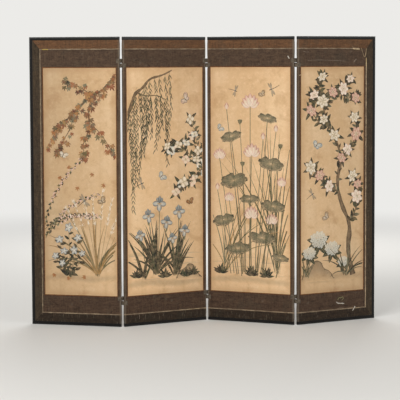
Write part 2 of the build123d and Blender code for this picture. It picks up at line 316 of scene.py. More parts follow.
clothLook = {
    "edgeRadius": 3.0,  # of a panel's eased upright edges
    "turnIn": 26.0,  # cloth on the back
    "thickness": 0.5,
    "step": 7.0,  # between the grid's columns and rows
    "pucker": 0.12,
    "puckerSize": 90.0,
    "hem": 0.28,  # how far a strip's edge sinks to its seam
    "hemWidth": 1.6,
    "edgeWearAndHighlightWidth": 7.0,  # rubbed zone beside an eased edge, which is also painted lighter there as a painted highlight on the rounded edge
    "padding": 1.4,  # how full the cloth's roll stands on a folding edge
    "padRun": 26.0,  # over which it is pressed flat under a strap and at a rail
    "padStrap": 1.6,  # half a strap's share of that
    "mapStep": 1.37,  # a narrow strip's width, in millimetres
    "ribbon": 10.0,  # a narrower strip isn't a sheet
}
strapLevels = np.concatenate([nodePoints(f"hinge_1_{side}_straps")[:, 2] for side in bothSides])
lowStraps = strapLevels[strapLevels < strapLevels.mean()]
highStraps = strapLevels[strapLevels > strapLevels.mean()]
strapHeights = [(part.min() + part.max()) / 2 for part in (lowStraps, highStraps)]


def wrapColumns(panel, right):
    # The path round an eased edge, from the front to the back: a quarter circle, the straight
    # edge, a quarter circle and the turn-in. Returns x, y, its outward direction and the
    # distance from the front's end.
    radius = clothLook["edgeRadius"]
    flat = panel.half - radius
    turn = np.radians(np.linspace(0, 90, 6))
    edge = np.linspace(-flat, flat, 5)[1:-1]
    back = np.array([1.5, 5.0, 10.0, 16.0, clothLook["turnIn"] - 4.5, clothLook["turnIn"] - 3.0])
    outX = np.concatenate([-np.sin(turn), np.full(3, -1.0), -np.cos(turn), np.zeros(len(back))])
    outY = np.concatenate([-np.cos(turn), np.zeros(3), np.sin(turn), np.ones(len(back))])
    x = np.concatenate([radius * outX[:-len(back)], back]) + radius
    y = np.concatenate([
        -flat - radius * np.cos(turn),
        edge,
        flat + radius * np.sin(turn),
        np.full(len(back), flat + radius),
    ])
    along = np.concatenate([[0.0], np.cumsum(np.hypot(np.diff(x), np.diff(y)))])
    if right:
        return panel.width - x, y, -outX, outY, along
    return x, y, outX, outY, along


def clothPatch(panel, corners, carried=(), step=clothLook["step"]):
    # A strip of cloth on the front, between four corners (x, z) that run anticlockwise from the
    # lower left, with its ends carried round the folding edges. Each point of the front is the
    # mean of the corners weighted by its two shares.
    lowLeft, lowRight, highRight, highLeft = [np.array(c, float) for c in corners]
    across = steps(max(lowRight[0] - lowLeft[0], highRight[0] - highLeft[0]), step)
    up = steps(max(highLeft[1] - lowLeft[1], highRight[1] - lowRight[1]), step)
    s, t = across[None, :, None], up[:, None, None]
    front = (lowLeft * (1 - s) + lowRight * s) * (1 - t) + (highLeft * (1 - s) + highRight * s) * t
    x, z = front[..., 0], front[..., 1]
    grids = [x, np.full_like(x, -panel.half), np.zeros_like(x), np.full_like(x, -1.0), z, x]
    for side in panel.folds:
        if side in carried:
            right = side == "right"
            edge = -1 if right else 0
            *bands, along = [c[1:] if right else c[:0:-1] for c in wrapColumns(panel, right)]
            bands += [grids[4][:, [edge]], grids[5][:, [edge]] + (along if right else -along)]
            bands = [np.broadcast_to(band, (len(up), len(along))) for band in bands]
            pairs = [(own, band) if right else (band, own) for own, band in zip(grids, bands)]
            grids = [np.concatenate(pair, axis=1) for pair in pairs]
    return dict(zip(("x", "y", "outX", "outY", "z", "u"), grids))


def hemFall(patch):
    # 1 at a strip's four edges, easing to 0 a hem's width inside
    u, z = patch["u"], patch["z"]
    inside = np.minimum.reduce([u - u[:, :1], u[:, -1:] - u, z - z[:1], z[-1:] - z])
    return 1 - smooth(inside / clothLook["hemWidth"])


def clothWearAndEdgeHighlight(panel, patch, seed):
    # how rubbed the cloth is, and where it is painted lighter: high where it goes round a folding edge,
    # partly rub wear and partly a painted highlight on the rounded edge, with chance scuffs
    u, z = patch["u"], patch["z"]
    wear = np.zeros_like(u)
    for side in panel.folds:
        place = 1.5 if side == "left" else panel.width - 1.5
        near = 1 - smooth(np.abs(u - place) / clothLook["edgeWearAndHighlightWidth"])
        wear = np.maximum(wear, near * (0.75 + 0.25 * ripple(u, z, seed, 60)))
    scuffs = smooth((ripple(u, z, seed + 1, 38) - 0.95) / 0.5) * 0.3
    return np.clip(np.maximum(wear, scuffs), 0, 1)


def padding(panel, patch):
    # how far the cloth stands off a folding edge: in full between the rails and the straps,
    # where 1 - e^-(distance / run)^4 and the smooth step bring it down to nothing
    z, run = patch["z"], clothLook["padRun"]
    full = smooth((z - panel.railWidth) / run) * smooth((panel.height - panel.railWidth - z) / run)
    for height in strapHeights:
        full = full * (1 - np.exp(-((z - height) / clothLook["padStrap"] / run) ** 4))
    return clothLook["padding"] * full * np.abs(patch["outX"])


def clothPiece(name, panel, patch, finish, turned=False, lift=0.0):
    # lays the patch as cloth: puckers, hemmed edges, and its threads' directions on its map
    u, z = patch["u"], patch["z"]
    out = clothLook["pucker"] * ripple(u, z, panel.number * 17, clothLook["puckerSize"])
    out = out + lift - clothLook["hem"] * hemFall(patch) + padding(panel, patch)
    points = panel.place(patch["x"] + patch["outX"] * out, patch["y"] + patch["outY"] * out, z)
    fields = {"wear": clothWearAndEdgeHighlight(panel, patch, panel.number * 31).ravel()}
    surface = flatMap(u, z, turned) + panel.number * clothLook["mapStep"]
    piece = makePiece(name, points, finish, surface, fields, clothLook["thickness"])
    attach(piece, panel.body)
    return piece


weave = {"rib": 1.1 * mm, "warp": 0.55 * mm, "relief": 0.16 * mm}


def wovenCloth(name, tone, light, dark, worn=(124, 113, 98), nicks=0.0, greyed=(76, 69, 57)):
    # Ribs run along u and repeat across v; finer warp threads swap over from rib to rib, and the hollows
    # between them are painted darker as painted shade. Slubs are noise drawn out along the ribs.
    look = Finish(name, 0.9, 0.1, Sheen_Weight=0.04, Sheen_Roughness=0.6)
    rib = look.sine(look.y, weave["rib"])
    crossing = look.times(rib, look.sine(look.x, weave["warp"]))
    height = look.math("ADD", look.times(rib, 0.6), look.times(crossing, 0.4))
    slubs = look.noise((21, 360), 2.5, 0.6)
    hairs = look.noise((55, 900), 2.0, 0.6)
    patches = look.noise(6.5, 4.0, 0.6)
    mottle = look.noise((19, 48), 4.0, 0.66, 0.4)
    bars = look.noise((8, 250), 2.0, 0.5)
    ends = look.noise((260, 10), 2.0, 0.5)
    flecks = look.noise((78, 105), 3.0, 0.7)
    tints = look.noise(11.0, 2.0, 0.5)
    colour = look.mix(look.span(slubs, 0.26, 0.74), linear(*dark), linear(*light))
    colour = look.mix(look.span(patches, 0.3, 0.7, 0.2, 0.8), colour, linear(*tone))
    # a darker tone for the mottle, threads and hairs, and for the painted shade in the weave's hollows
    shade = tuple(0.72 * c for c in linear(*dark))
    faded = tuple(c * k for c, k in zip(linear(*light), (1.28, 1.22, 1.12)))  # sunned, a little redder
    rules = [
        (mottle, 0.5, 0.7, 0.75, faded),
        (mottle, 0.47, 0.3, 0.75, shade),
        (tints, 0.54, 0.7, 0.35, linear(*greyed)),
    ]
    for threads, share in ((bars, 0.26), (ends, 0.4), (flecks, 0.58)):
        rules += [(threads, 0.53, 0.68, share, faded), (threads, 0.46, 0.32, share, shade)]
    # dark hairs, and painted shade where the weave lies low between its ribs
    rules += [(hairs, 0.48, 0.3, 0.55, shade), (height, -0.2, -0.95, 0.35, shade)]
    if nicks:
        rules.append((look.noise((330, 17), 1.0, 0.5), 0.66, 0.72, nicks, linear(*worn)))
    colour = look.tinted(colour, *rules)
    # rubbed cloth turns to the worn tone; along the folding edges this is also a painted highlight on the
    # rounded edge
    rubbedAndEdgeLit = look.times(look.attribute("wear"), look.span(hairs, 0.3, 0.6, 0.55, 0.95))
    colour = look.mix(rubbedAndEdgeLit, colour, linear(*worn))
    look.colour(colour)
    look.rough(look.span(slubs, 0.3, 0.7, 0.92, 0.78))
    look.relief(look.math("ADD", height, look.times(slubs, 1.5)), weave["relief"])
    return look


# The outer border's top, side and low strips are one cloth in lit and shaded copies. As painted light it is
# lighter along the top, where the light falls from above. As painted shade it is darker at the side and
# darker still along the foot.
clothFinishes = {
    "outerTop": wovenCloth("border_cloth_outer_top_painted_light", (100, 71, 49), (113, 82, 57), (84, 60, 44),
                           greyed=(93, 77, 61)),
    "outerSide": wovenCloth("border_cloth_outer_side_painted_shade", (66, 55, 43), (78, 65, 51), (54, 45, 35)),
    "outerLow": wovenCloth("border_cloth_outer_low_painted_shade", (51, 41, 32), (64, 52, 41), (39, 31, 25), nicks=0.6,
                           greyed=(60, 55, 44)),
    "innerTop": wovenCloth("border_cloth_inner_top", (80, 63, 50), (93, 75, 61), (65, 51, 41)),
    "innerSide": wovenCloth("border_cloth_inner_side", (82, 65, 51), (94, 77, 61), (64, 49, 38),
                            worn=(117, 98, 80)),
    "innerLow": wovenCloth("border_cloth_inner_low", (77, 59, 47), (91, 72, 58), (61, 47, 37)),
    "fillet": wovenCloth("fillet_cloth", (109, 69, 41), (123, 81, 49), (88, 55, 33), worn=(124, 93, 67),
                         greyed=(88, 62, 42)),
    "strap": wovenCloth("hinge_cloth", (84, 74, 63), (98, 88, 75), (64, 56, 48)),
}

giltLook = {"lift": 0.12, "thickness": 0.25, "ragged": 0.35, "step": 4.0, "over": 0.06, "mapStep": 0.7}
giltTones = (160, 140, 112), (118, 99, 79), (172, 146, 88)
# how light each run's gilt is, and how much of it still shows gold
giltLight = {"top": (0.78, 0.45), "low": (1.0, 0.12), "side": (0.86, 0.2), "clean": (1.45, 0.3)}
# where the gilt paper has come away, and how far its torn ends slant
giltBreak = {"panel": 4, "top": 437.0, "side": 1573.0, "topSlant": 4.0, "sideSlant": 5.0}


def giltFinish(name, light, golden):
    # worn gilt paper: dull gold where it is whole, grey paper where it is rubbed, dark in gaps
    look = Finish(name, 0.5, 0.4, Metallic=0.25)
    rubbing = look.noise((26, 120), 4.0, 0.65)
    gold = look.noise(5.0, 2.0)
    gaps = look.noise((160, 700), 2.0)
    whole, dull, bright = [tuple(light * c for c in linear(*tone)) for tone in giltTones]
    colour = look.mix(look.span(rubbing, 0.38, 0.58), whole, dull)
    look.colour(look.tinted(colour, (gold, 0.6, 0.7, golden, bright),
                            (gaps, 0.62, 0.72, 0.75, linear(74, 58, 45))))
    look.rough(look.span(rubbing, 0.35, 0.62, 0.42, 0.75))
    look.relief(gaps, 0.2 * mm)
    return look


railLook = {
    "litWidth": 7.8,  # outer part of a rail, painted grey as a painted highlight
    "litEase": 1.2,
    "litTop": 1.0,  # how strong that painted highlight is along the top, at the foot and down the sides
    "litFoot": 0.2,
    "litSide": 0.5,
    "arris": 2.2,  # most worn zone at the very edge
}


def lacquer(panel):
    # Black lacquer whose outer part is painted grey as a painted highlight, strongest along the top: each
    # zone follows the distance from the screen's own top, foot or outer edge, and the strongest one shows.
    look = Finish(f"lacquer_{panel.number}", 0.34, 0.18, False, Coat_Weight=0.08, Coat_Roughness=0.2)
    below = look.math("SUBTRACT", panel.height * mm, look.z)
    edges = [(below, railLook["litTop"]), (look.z, railLook["litFoot"])]
    if panel.railLeft or panel.railRight:
        dot = look.node("ShaderNodeVectorMath", operation="DOT_PRODUCT")
        look.feed(dot.inputs[0], look.place)
        dot.inputs[1].default_value = (*panel.along, 0.0)
        start = float(panel.origin @ panel.along) + (0 if panel.railLeft else panel.width)
        x = look.math("SUBTRACT", dot.outputs["Value"], start * mm)
        x = x if panel.railLeft else look.times(x, -1.0)
        edges.append((x, railLook["litSide"]))
    cloud = look.noise(30.0, 4.0, 0.6)
    fine = look.noise(420.0, 3.0, 0.6)
    wander = look.times(look.math("SUBTRACT", cloud, 0.5), 3 * mm)
    widest, narrowest = [(railLook["litWidth"] + side * railLook["litEase"]) * mm for side in (1, -1)]
    lit, nearest = 0.0, 1.0
    for edge, share in edges:
        zone = look.span(look.math("ADD", edge, wander), widest, narrowest, 0.0, share)
        lit = look.math("MAXIMUM", zone, lit)
        nearest = look.math("MINIMUM", edge, nearest)
    # painted highlight: the outer zone is painted grey, most along the top
    colour = look.mix(lit, linear(9, 8, 7), linear(58, 59, 58))
    colour = look.tinted(colour, (fine, 0.4, 0.65, 0.4, linear(26, 24, 22)))
    arris = look.span(nearest, railLook["arris"] * mm, 0.0)
    worn = look.times(arris, look.span(cloud, 0.42, 0.62))
    colour = look.mix(worn, colour, linear(96, 84, 70))
    look.colour(colour)
    look.rough(look.span(fine, 0.3, 0.7, 0.28, 0.5))
    look.relief(look.math("ADD", cloud, look.times(fine, 0.4)), 0.25 * mm)
    return look


def plainWood(name, light, dark, turned=False):
    # growth rings as bands of a stretched noise
    look = Finish(name, 0.7, mapped=False)
    rings = look.noise((60, 60, 2.2) if turned else (2.2, 60, 60), 5.0, 0.6)
    look.colour(look.mix(look.span(rings, 0.35, 0.65), linear(*dark), linear(*light)))
    look.relief(rings, 0.2 * mm)
    return look


def mulberryPaper(name, light, dark, specks):
    # long fibres over a cloudy sheet
    look = Finish(name, 0.9, 0.15, False)
    clouds = look.noise(5.0, 5.0, 0.6)
    fibres = look.noise((90, 90, 500), 3.0, 0.6, 0.4)
    colour = look.mix(look.span(clouds, 0.3, 0.7), linear(*dark), linear(*light))
    look.colour(look.tinted(colour, (fibres, 0.6, 0.72, 0.5, linear(*specks))))
    look.relief(fibres, 0.15 * mm)
    return look


def forgedIron():
    look = Finish("pin_iron", 0.6, mapped=False, Metallic=0.85)
    grain = look.noise(600.0, 4.0)
    look.colour(look.mix(grain, linear(52, 47, 44), linear(92, 84, 76)))
    look.relief(grain, 0.1 * mm)
    return look


def clothBorders(panel):
    # Outer border along the rails, mitred at the corners of the end panels, and inner border
    # round the picture. Both are carried round the folding edges.
    w, h, rail = panel.width, panel.height, panel.railWidth
    radius = clothLook["edgeRadius"]
    left = rail if panel.railLeft else radius
    right = w - (rail if panel.railRight else radius)
    seamLeft = panel.seamLeft if panel.railLeft else radius
    seamRight = panel.seamRight if panel.railRight else w - radius
    rails = box(left, right, rail, h - rail)
    seam = box(seamLeft, seamRight, panel.seam, h - panel.seam)
    middle = box(seamLeft, seamRight, *panel.picture[2:])
    silk = box(*panel.picture)
    strips = [
        ("outer", "top", rails, seam), ("outer", "low", rails, seam), ("inner", "top", seam, middle),
        ("inner", "low", seam, middle), ("inner", "left", middle, silk), ("inner", "right", middle, silk),
    ]
    strips += [("outer", side, rails, seam) for side in bothSides if side not in panel.folds]
    for border, side, outer, inner in strips:
        upright = side in bothSides
        part = "side" if upright and border == "outer" else side
        carried = bothSides if not upright else () if part == "side" else (side,)
        patch = clothPatch(panel, between(outer, inner, side), carried)
        finish = clothFinishes[border + ("Side" if upright else side.capitalize())]
        piece = clothPiece(f"{panel.body}_{border}_{part}_strip", panel, patch, finish,
                           upright)
        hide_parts(f"{panel.body}_{border}_border")


filletLook = {"width": 5.0, "overlap": 0.8, "lift": 0.35}


def pictureFillet(panel):
    # four narrow folded strips on the inner border's edge, mitred where they meet
    left, right, low, high = panel.picture
    lap, wide = filletLook["overlap"], filletLook["width"]
    inner = box(left + lap, right - lap, low + lap, high - lap)
    outer = box(left - wide + lap, right + wide - lap, low - wide + lap, high + wide - lap)
    for side in (*bothSides, "low", "top"):
        clothPiece(f"{panel.body}_fillet_{side}", panel, clothPatch(panel, between(outer, inner, side)),
                   clothFinishes["fillet"], side in bothSides, filletLook["lift"])


def giltRuns(panel, finishes):
    # Gilt paper over the seam of the two cloths: a run along the top and the bottom, carried
    # round the folding edges, and an upright run beside each upright rail.
    low = panel.giltLow
    wide = 2 * (panel.seam - low)
    high = panel.height - low
    left = panel.seamLeft - wide / 2 if panel.railLeft else clothLook["edgeRadius"]
    right = panel.seamRight + wide / 2 if panel.railRight else panel.width - clothLook["edgeRadius"]
    runs = {"low": box(left, right, low, low + wide), "top": box(left, right, high - wide, high)}
    if panel.railLeft:
        runs["side"] = box(left, left + wide, low, high)
    if panel.railRight:
        runs["side"] = box(right - wide, right, low, high)
    if panel.number == giltBreak["panel"]:
        end, top = giltBreak["top"], giltBreak["side"]
        runs["top"][1:3] = (end, high - wide), (end - giltBreak["topSlant"], high)
        runs["side"][2:] = (right, top), (right - wide, top - giltBreak["sideSlant"])
    for side, corners in runs.items():
        upright = side == "side"
        patch = clothPatch(panel, corners, () if upright else bothSides, giltLook["step"])
        u, z = patch["u"], patch["z"]
        ragged = giltLook["ragged"] * ripple(u, z, panel.number * 7 + len(side), 14)
        pucker = clothLook["pucker"] * ripple(u, z, panel.number * 17, clothLook["puckerSize"])
        out = giltLook["lift"] + pucker + giltLook["thickness"]
        out = out + (giltLook["over"] if upright else 0.0) + padding(panel, patch)
        x = patch["x"] + patch["outX"] * out + (ragged if upright else 0)
        points = panel.place(x, patch["y"] + patch["outY"] * out, z + (0 if upright else ragged))
        surface = flatMap(u, z, upright) + panel.number * giltLook["mapStep"]
        shade = "clean" if upright and panel.railRight else side
        piece = makePiece(f"{panel.body}_gilt_{side}", points, finishes[shade], surface,
                          thickness=giltLook["thickness"])
        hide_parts(f"{panel.body}_gilt_line")
        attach(piece, panel.body)


scraps = {  # loose paper: its panel, the line it follows, its width, how far it stands off, and its tone
    "peeled_gilt": (4, [(386, 1629), (388, 1626), (410, 1624), (437, 1624)], 6.5, 1.6, "pale"),
    "hanging_gilt": (4, [(448, 1630), (456, 1606), (464, 1584), (471, 1575), (479, 1590), (485, 1628)],
                     4.5, 3.0, "gold"),
    "torn_gilt": (4, [(386, 1640), (387, 1634), (392, 1629)], 3.0, 0.8, "gold"),
    "top_scrap": (4, [(393, 1546), (402, 1556), (413, 1566)], 6.0, 0.6, "dull"),
    "low_scrap": (4, [(391, 56), (399, 67), (409, 82)], 5.5, 0.8, "white"),
    "low_shred": (4, [(274, 117), (284, 108), (304, 107), (330, 104)], 5.5, 0.8, "white"),
    "low_curl": (4, [(284, 128), (290, 143), (305, 138), (316, 148), (325, 135), (312, 124)],
                 4.0, 1.2, "straw"),
    "low_fibre": (4, [(280, 76), (300, 80), (326, 77)], 2.2, 0.4, "dull"),
    "top_fibre": (4, [(68, 1558), (130, 1561), (200, 1559), (338, 1553)], 2.2, 0.4, "dull"),
    "left_fibre": (4, [(34, 1613), (52, 1607), (76, 1607)], 2.6, 0.4, "dull"),
    "edge_shred": (4, [(8, 1470), (14, 1474), (26, 1473)], 4.0, 0.6, "pale"),
    "foot_nick": (2, [(95, 66), (97, 52), (96, 40)], 2.6, 0.5, "dull"),
    "bright_gilt": (1, [(80, 1627.6), (98, 1627.2), (118, 1627.6)], 5.6, 0.1, "bright"),
    "white_scrap": (3, [(515, 1585), (519, 1578), (525, 1569)], 5.5, 0.8, "white"),
}
scrapLook = {"lift": 0.75, "thickness": 0.25}
scrapTones = {
    "pale": (196, 172, 136), "gold": (158, 136, 106), "dull": (128, 112, 98), "white": (206, 198, 184),
    "bright": (172, 148, 76), "straw": (142, 134, 96),
}


def scrapPaper(name, tone):
    look = Finish(name, 0.85, 0.15)
    fibres = look.noise((900, 300), 3.0, 0.6)
    dirt = look.noise(140.0, 3.0)
    look.colour(look.tinted(linear(*tone), (fibres, 0.35, 0.7, 0.35, linear(88, 70, 54)),
                            (dirt, 0.5, 0.7, 0.4, linear(112, 90, 68))))
    look.relief(fibres, 0.15 * mm)
    return look


def looseScraps():
    # ribbons that follow a line on the panel's front and bow away from it between their ends
    finishes = {tone: scrapPaper(f"scrap_paper_{tone}", value) for tone, value in scrapTones.items()}
    for name, (number, line, wide, bow, tone) in scraps.items():
        panel = panels[number]
        spine = eased(line)
        t = np.linspace(0, 1, len(spine))
        side = np.linspace(-0.5, 0.5, 5)
        half = wide * (1 + 0.18 * np.sin(t * 19) + 0.1 * np.sin(t * 43))
        x, z = np.moveaxis(ribbon(spine, half, side), 2, 0)
        bulge = bow * np.sin(math.pi * t)[:, None] * (1 - 0.5 * side[None])
        points = panel.place(x, -panel.half - scrapLook["lift"] - bulge - 0.3 * side[None] ** 2, z)
        piece = makePiece(f"panel_{number}_{name}", points, finishes[tone],
                          flatMap(t[:, None] * len(t) * 2, side * half[:, None]),
                          thickness=scrapLook["thickness"], quads=gridQuads(len(t), 5)[:, ::-1])
        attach(piece, panel.body)


strapLook = {
    "paste": 0.15,
    "thickness": 0.6,
    "tab": 15.0,  # its pasted end
    "step": 4.0,
    "fray": 0.25,
    "bend": 4.0,  # a bend of this much to each side of the fold's axis
    "middle": 0.85,  # metres up the fold, for the bend
}


def arcPoints(centre, radius, start, end, count):
    # points on an arc, by angle in degrees
    turn = np.radians(np.linspace(start, end, count))
    return centre + radius * np.stack([np.cos(turn), np.sin(turn)], axis=1)


def strapPath(left, right, side):
    # One crossing strap's plan, in millimetres: flat on the left panel's front (side -1) or back
    # (1), round its edge, straight across along the crossing tangent of the two eased edges,
    # round the right panel's edge and flat on its other face.
    radius = clothLook["edgeRadius"]
    flat = side * (left.half - radius)
    start = left.place(left.width - radius, flat, 0.0)[:2] / mm
    end = right.place(radius, -flat, 0.0)[:2] / mm
    away = end - start
    middle = radius + strapLook["paste"] + strapLook["thickness"] / 2
    lean = math.degrees(math.asin(2 * middle / np.hypot(*away)))
    heading = math.degrees(math.atan2(away[1], away[0])) - side * lean
    leave = heading + side * 90
    first = arcPoints(start, middle, left.heading() + side * 90, leave, 8)
    last = arcPoints(end, middle, leave - 180 * side, right.heading() - side * 90, 8)
    tabs = np.linspace(1, 0, 7)[:-1, None] * strapLook["tab"]
    span = first[-1] + (last[0] - first[-1]) * np.linspace(0, 1, 12)[1:-1, None]
    ends = first[0] - tabs * left.along, last[-1] + tabs[::-1] * right.along
    return np.concatenate([ends[0], first, span, last, ends[1]])


def crossingStraps():
    # A strap is named after the panel that holds its end on the opening side, and is laid in place
    # across the fold.
    for fold in foldNumbers:
        left, right = panels[fold], panels[fold + 1]
        for side in (-1, 1):
            carrier = "right" if side == closingSide[fold] else "left"
            node = f"hinge_{fold}_{carrier}_straps"
            levels = np.unique(nodePoints(node)[:, 2].round(2)).reshape(-1, 2)
            plan = strapPath(left, right, side)
            along = np.concatenate([[0], np.cumsum(np.hypot(*np.diff(plan, axis=0).T))])
            points, surface, quads = [], [], []
            for low, high in levels:
                z = low + (high - low) * steps(high - low, strapLook["step"], (0.5, 1.5))
                grid = np.concatenate([
                    np.broadcast_to(plan[None], (len(z), *plan.shape)),
                    np.broadcast_to(z[:, None, None], (len(z), len(plan), 1)),
                ], axis=2)
                fray = strapLook["fray"] * ripple(along, low, fold * 5 + side, 12)
                grid[0, :, 2] += fray
                grid[-1, :, 2] -= fray
                quads.append(gridQuads(len(z), len(plan)) + sum(len(q) for q in points))
                points.append(grid.reshape(-1, 3))
                surface.append(flatMap(along[None], z[:, None]).reshape(-1, 2) + fold)
            points, surface = np.concatenate(points) * mm, np.concatenate(surface)
            wear = np.clip(0.35 + 0.4 * ripple(surface[:, 0] / mm, surface[:, 1] / mm, 5 * fold, 16), 0, 1)
            piece = makePiece(f"hinge_{fold}_{carrier}_cloth", points, clothFinishes["strap"], surface,
                              {"wear": wear}, strapLook["thickness"], 0.0, np.concatenate(quads))
            tabs = {"left": fold, "right": fold + 1}[carrier]
            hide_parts(node, f"panel_{tabs}_hinge_tabs")
            holder, other = (right, left) if carrier == "right" else (left, right)
            direction = (plan[-1] - plan[0]) / np.hypot(*(plan[-1] - plan[0]))
            direction = direction * (1 if holder is left else -1)
            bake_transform(piece)


backingLook = {
    "sheetHigh": 345.0,
    "sheetWide": 262.0,
    "lap": 7.0,
    "thickness": 0.35,
    "lift": 0.1,
    "rise": 0.32,  # of a lap over the sheet below it
    "cockle": 0.1,
    "cockleSize": 120.0,
    "mapStep": 0.9,
}


def backingPaper():
    # dull dyed paper: cloudy, darker and dustier in its laps
    look = Finish("backing_paper", 0.92, 0.15)
    clouds = look.noise(3.2, 5.0, 0.6)
    fibres = look.noise((260, 900), 3.0, 0.6, 0.5)
    spots = look.noise(48.0, 2.0, 0.5)
    colour = look.mix(look.span(clouds, 0.3, 0.7), linear(104, 86, 64), linear(128, 108, 82))
    colour = look.tinted(colour, (fibres, 0.58, 0.72, 0.4, linear(146, 127, 99)),
                         (spots, 0.66, 0.74, 0.5, linear(82, 62, 42)))
    look.colour(look.mix(look.times(look.attribute("wear"), 0.55), colour, linear(76, 60, 43)))
    look.relief(fibres, 0.12 * mm)
    return look


def backingSheets(panel, finish):
    # Sheets of backing paper that lap like tiles: the height falls along each sheet and steps up
    # at the next one's edge.
    low, high = panel.nodeBox("back_paper")
    width, tall = high[0] - low[0], high[2] - low[2]
    columns = round(width / backingLook["sheetWide"])
    courses = round(tall / backingLook["sheetHigh"])

    def lapped(length, count):
        # places along a length, with two close ones at each lap, and the lap's height there
        edge = np.arange(1, count) * length / count
        even = np.linspace(0, length, 14 * count + 1)
        even = even[np.min(np.abs(even[:, None] - edge), axis=1) > 4] if count > 1 else even
        spots = np.sort(np.concatenate([even, edge - 0.25, edge + 0.25, edge + backingLook["lap"]]))
        part = np.searchsorted(edge, spots)
        since = spots - np.concatenate([[0], edge])[part]
        return spots, np.where(part > 0, 1 - smooth((since - 5) / 6), 0.0)

    x, lapX = lapped(width, columns)
    z, lapZ = lapped(tall, courses)
    dust = np.maximum(lapX[None], lapZ[:, None])
    out = backingLook["lift"] + backingLook["rise"] * dust
    cockle = ripple(x[None], z[:, None], panel.number * 3, backingLook["cockleSize"])
    out = out + backingLook["cockle"] * cockle
    grid = panel.place((high[0] - x)[None], high[1] + out, (low[2] + z)[:, None])
    surface = flatMap(x[None], z[:, None]) + panel.number * backingLook["mapStep"]
    piece = makePiece(f"{panel.body}_backing_sheets", grid, finish, surface,
                      {"wear": dust.ravel()}, backingLook["thickness"])
    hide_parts(f"{panel.body}_back_paper")
    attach(piece, panel.body)


silkLook = {"step": 9.0, "thickness": 0.35, "lift": 0.05, "slack": 0.035, "slackSize": 160.0, "thread": 0.7}
silkTones = {
    "foot": (227, 191, 147), "head": (214, 178, 135), "pale": (232, 202, 163), "band": (195, 158, 116),
    "thread": (178, 142, 102), "stain": (180, 139, 96), "spot": (146, 104, 66),
}
# painted light on each panel's silk: how light it is painted at its left and at its right, as the lamps light
# a panel turned towards them; and what its foot keeps of that, as it is darker towards the foot
silkPaintedLightAndFootTone = {1: (0.79, 0.98, 1.0), 2: (1.14, 0.97, 1.0), 3: (1.03, 1.17, 0.96), 4: (1.0, 0.91, 0.88)}
footRise = 0.32  # how far up the silk its foot is darker, in metres
pigmentLook = {
    "wash": 0.02,  # how high the washes lie on the silk
    "lift": 0.05,  # and the lowest stroke
    "step": 0.006,  # a stroke lies this much above those that it crosses
    "most": 0.85,
    "cell": 3.5,  # of the map that tells which strokes cross
    "thickness": 0.05,
    "quads": 18000,  # in one relief
    "washStep": 0.004,  # a wash lies this much above the one before it
    "leastHalf": 0.12,  # half the width of the finest stroke
    "drift": 0.07,  # how far a stroke's tone strays
    "margin": 1.5,  # kept free along the silk's edges
    "leastArea": 0.01,  # of a quad
}


def silkTone(look, width, height, light):
    # Aged silk: a warm ground, painted lighter towards the foot and towards one side as painted light, soft
    # clouds, faint upright bands where it was rolled, threads both ways, and foxing in loose groups; some
    # panels are darker towards the foot.
    x, z = look.x, look.y
    left, right, foot = light
    most = max(left, right)
    tone = {name: tuple(most * c for c in linear(*silkTones[name])) for name in silkTones}
    clouds = look.noise(3.0, 5.0, 0.6)
    bands = look.noise((15, 0.7), 2.0, 0.5)
    warp = look.noise((1300, 70), 1.5, 0.6)
    weft = look.noise((60, 1300), 1.5, 0.6)
    stains = look.noise(7.0, 4.0, 0.6, 0.5)
    handling = look.noise(42.0, 4.0, 0.68, 0.4)
    spots = look.noise(210.0, 2.0, 0.5)
    # painted light: the ground is lighter at the foot than at the head, to make up for the lamps' light
    # falling off downwards
    ground = look.mix(look.span(z, 0.0, height), tone["foot"], tone["head"])
    colour = look.tinted(
        ground,
        (clouds, 0.4, 0.68, 0.7, tone["pale"]),
        (bands, 0.5, 0.72, 0.3, tone["band"]),
        (warp, 0.42, 0.64, 0.2, tone["thread"]),
        (weft, 0.42, 0.64, 0.2, tone["thread"]),
        (stains, 0.52, 0.72, 0.6, tone["stain"]),
        (handling, 0.52, 0.7, 0.4, tone["pale"]),
        (handling, 0.46, 0.3, 0.4, tone["band"]),
    )
    foxed = look.times(look.span(spots, 0.66, 0.74), look.span(stains, 0.5, 0.62))
    colour = look.mix(look.times(foxed, 0.4), colour, tone["spot"])
    nearX = look.math("MINIMUM", x, look.math("SUBTRACT", width, x))
    nearZ = look.math("MINIMUM", z, look.math("SUBTRACT", height, z))
    colour = look.tinted(colour, (look.math("MINIMUM", nearX, nearZ), 0.045, 0.0, 0.4, tone["stain"]))
    # painted light: each panel's silk is painted lighter towards one side and darker towards the other, as
    # the lamps light the panels' turned faces
    fade = look.mix(look.span(x, 0.0, width), (left / most,) * 3, (right / most,) * 3)
    # darker towards the foot on some panels
    footDarkening = look.mix(look.span(z, 0.0, footRise), (foot,) * 3, (1.0,) * 3)
    return look.multiply(look.multiply(colour, fade), footDarkening)


def silkFinish(name, width, height, light):
    # plain weave: weft waves crossed by warp waves
    look = Finish(name, 0.7, 0.12, Sheen_Weight=0.04)
    look.colour(silkTone(look, width, height, light))
    threads = [look.sine(along, silkLook["thread"] * mm) for along in (look.x, look.y)]
    look.relief(look.times(*threads), 0.05 * mm)
    return look


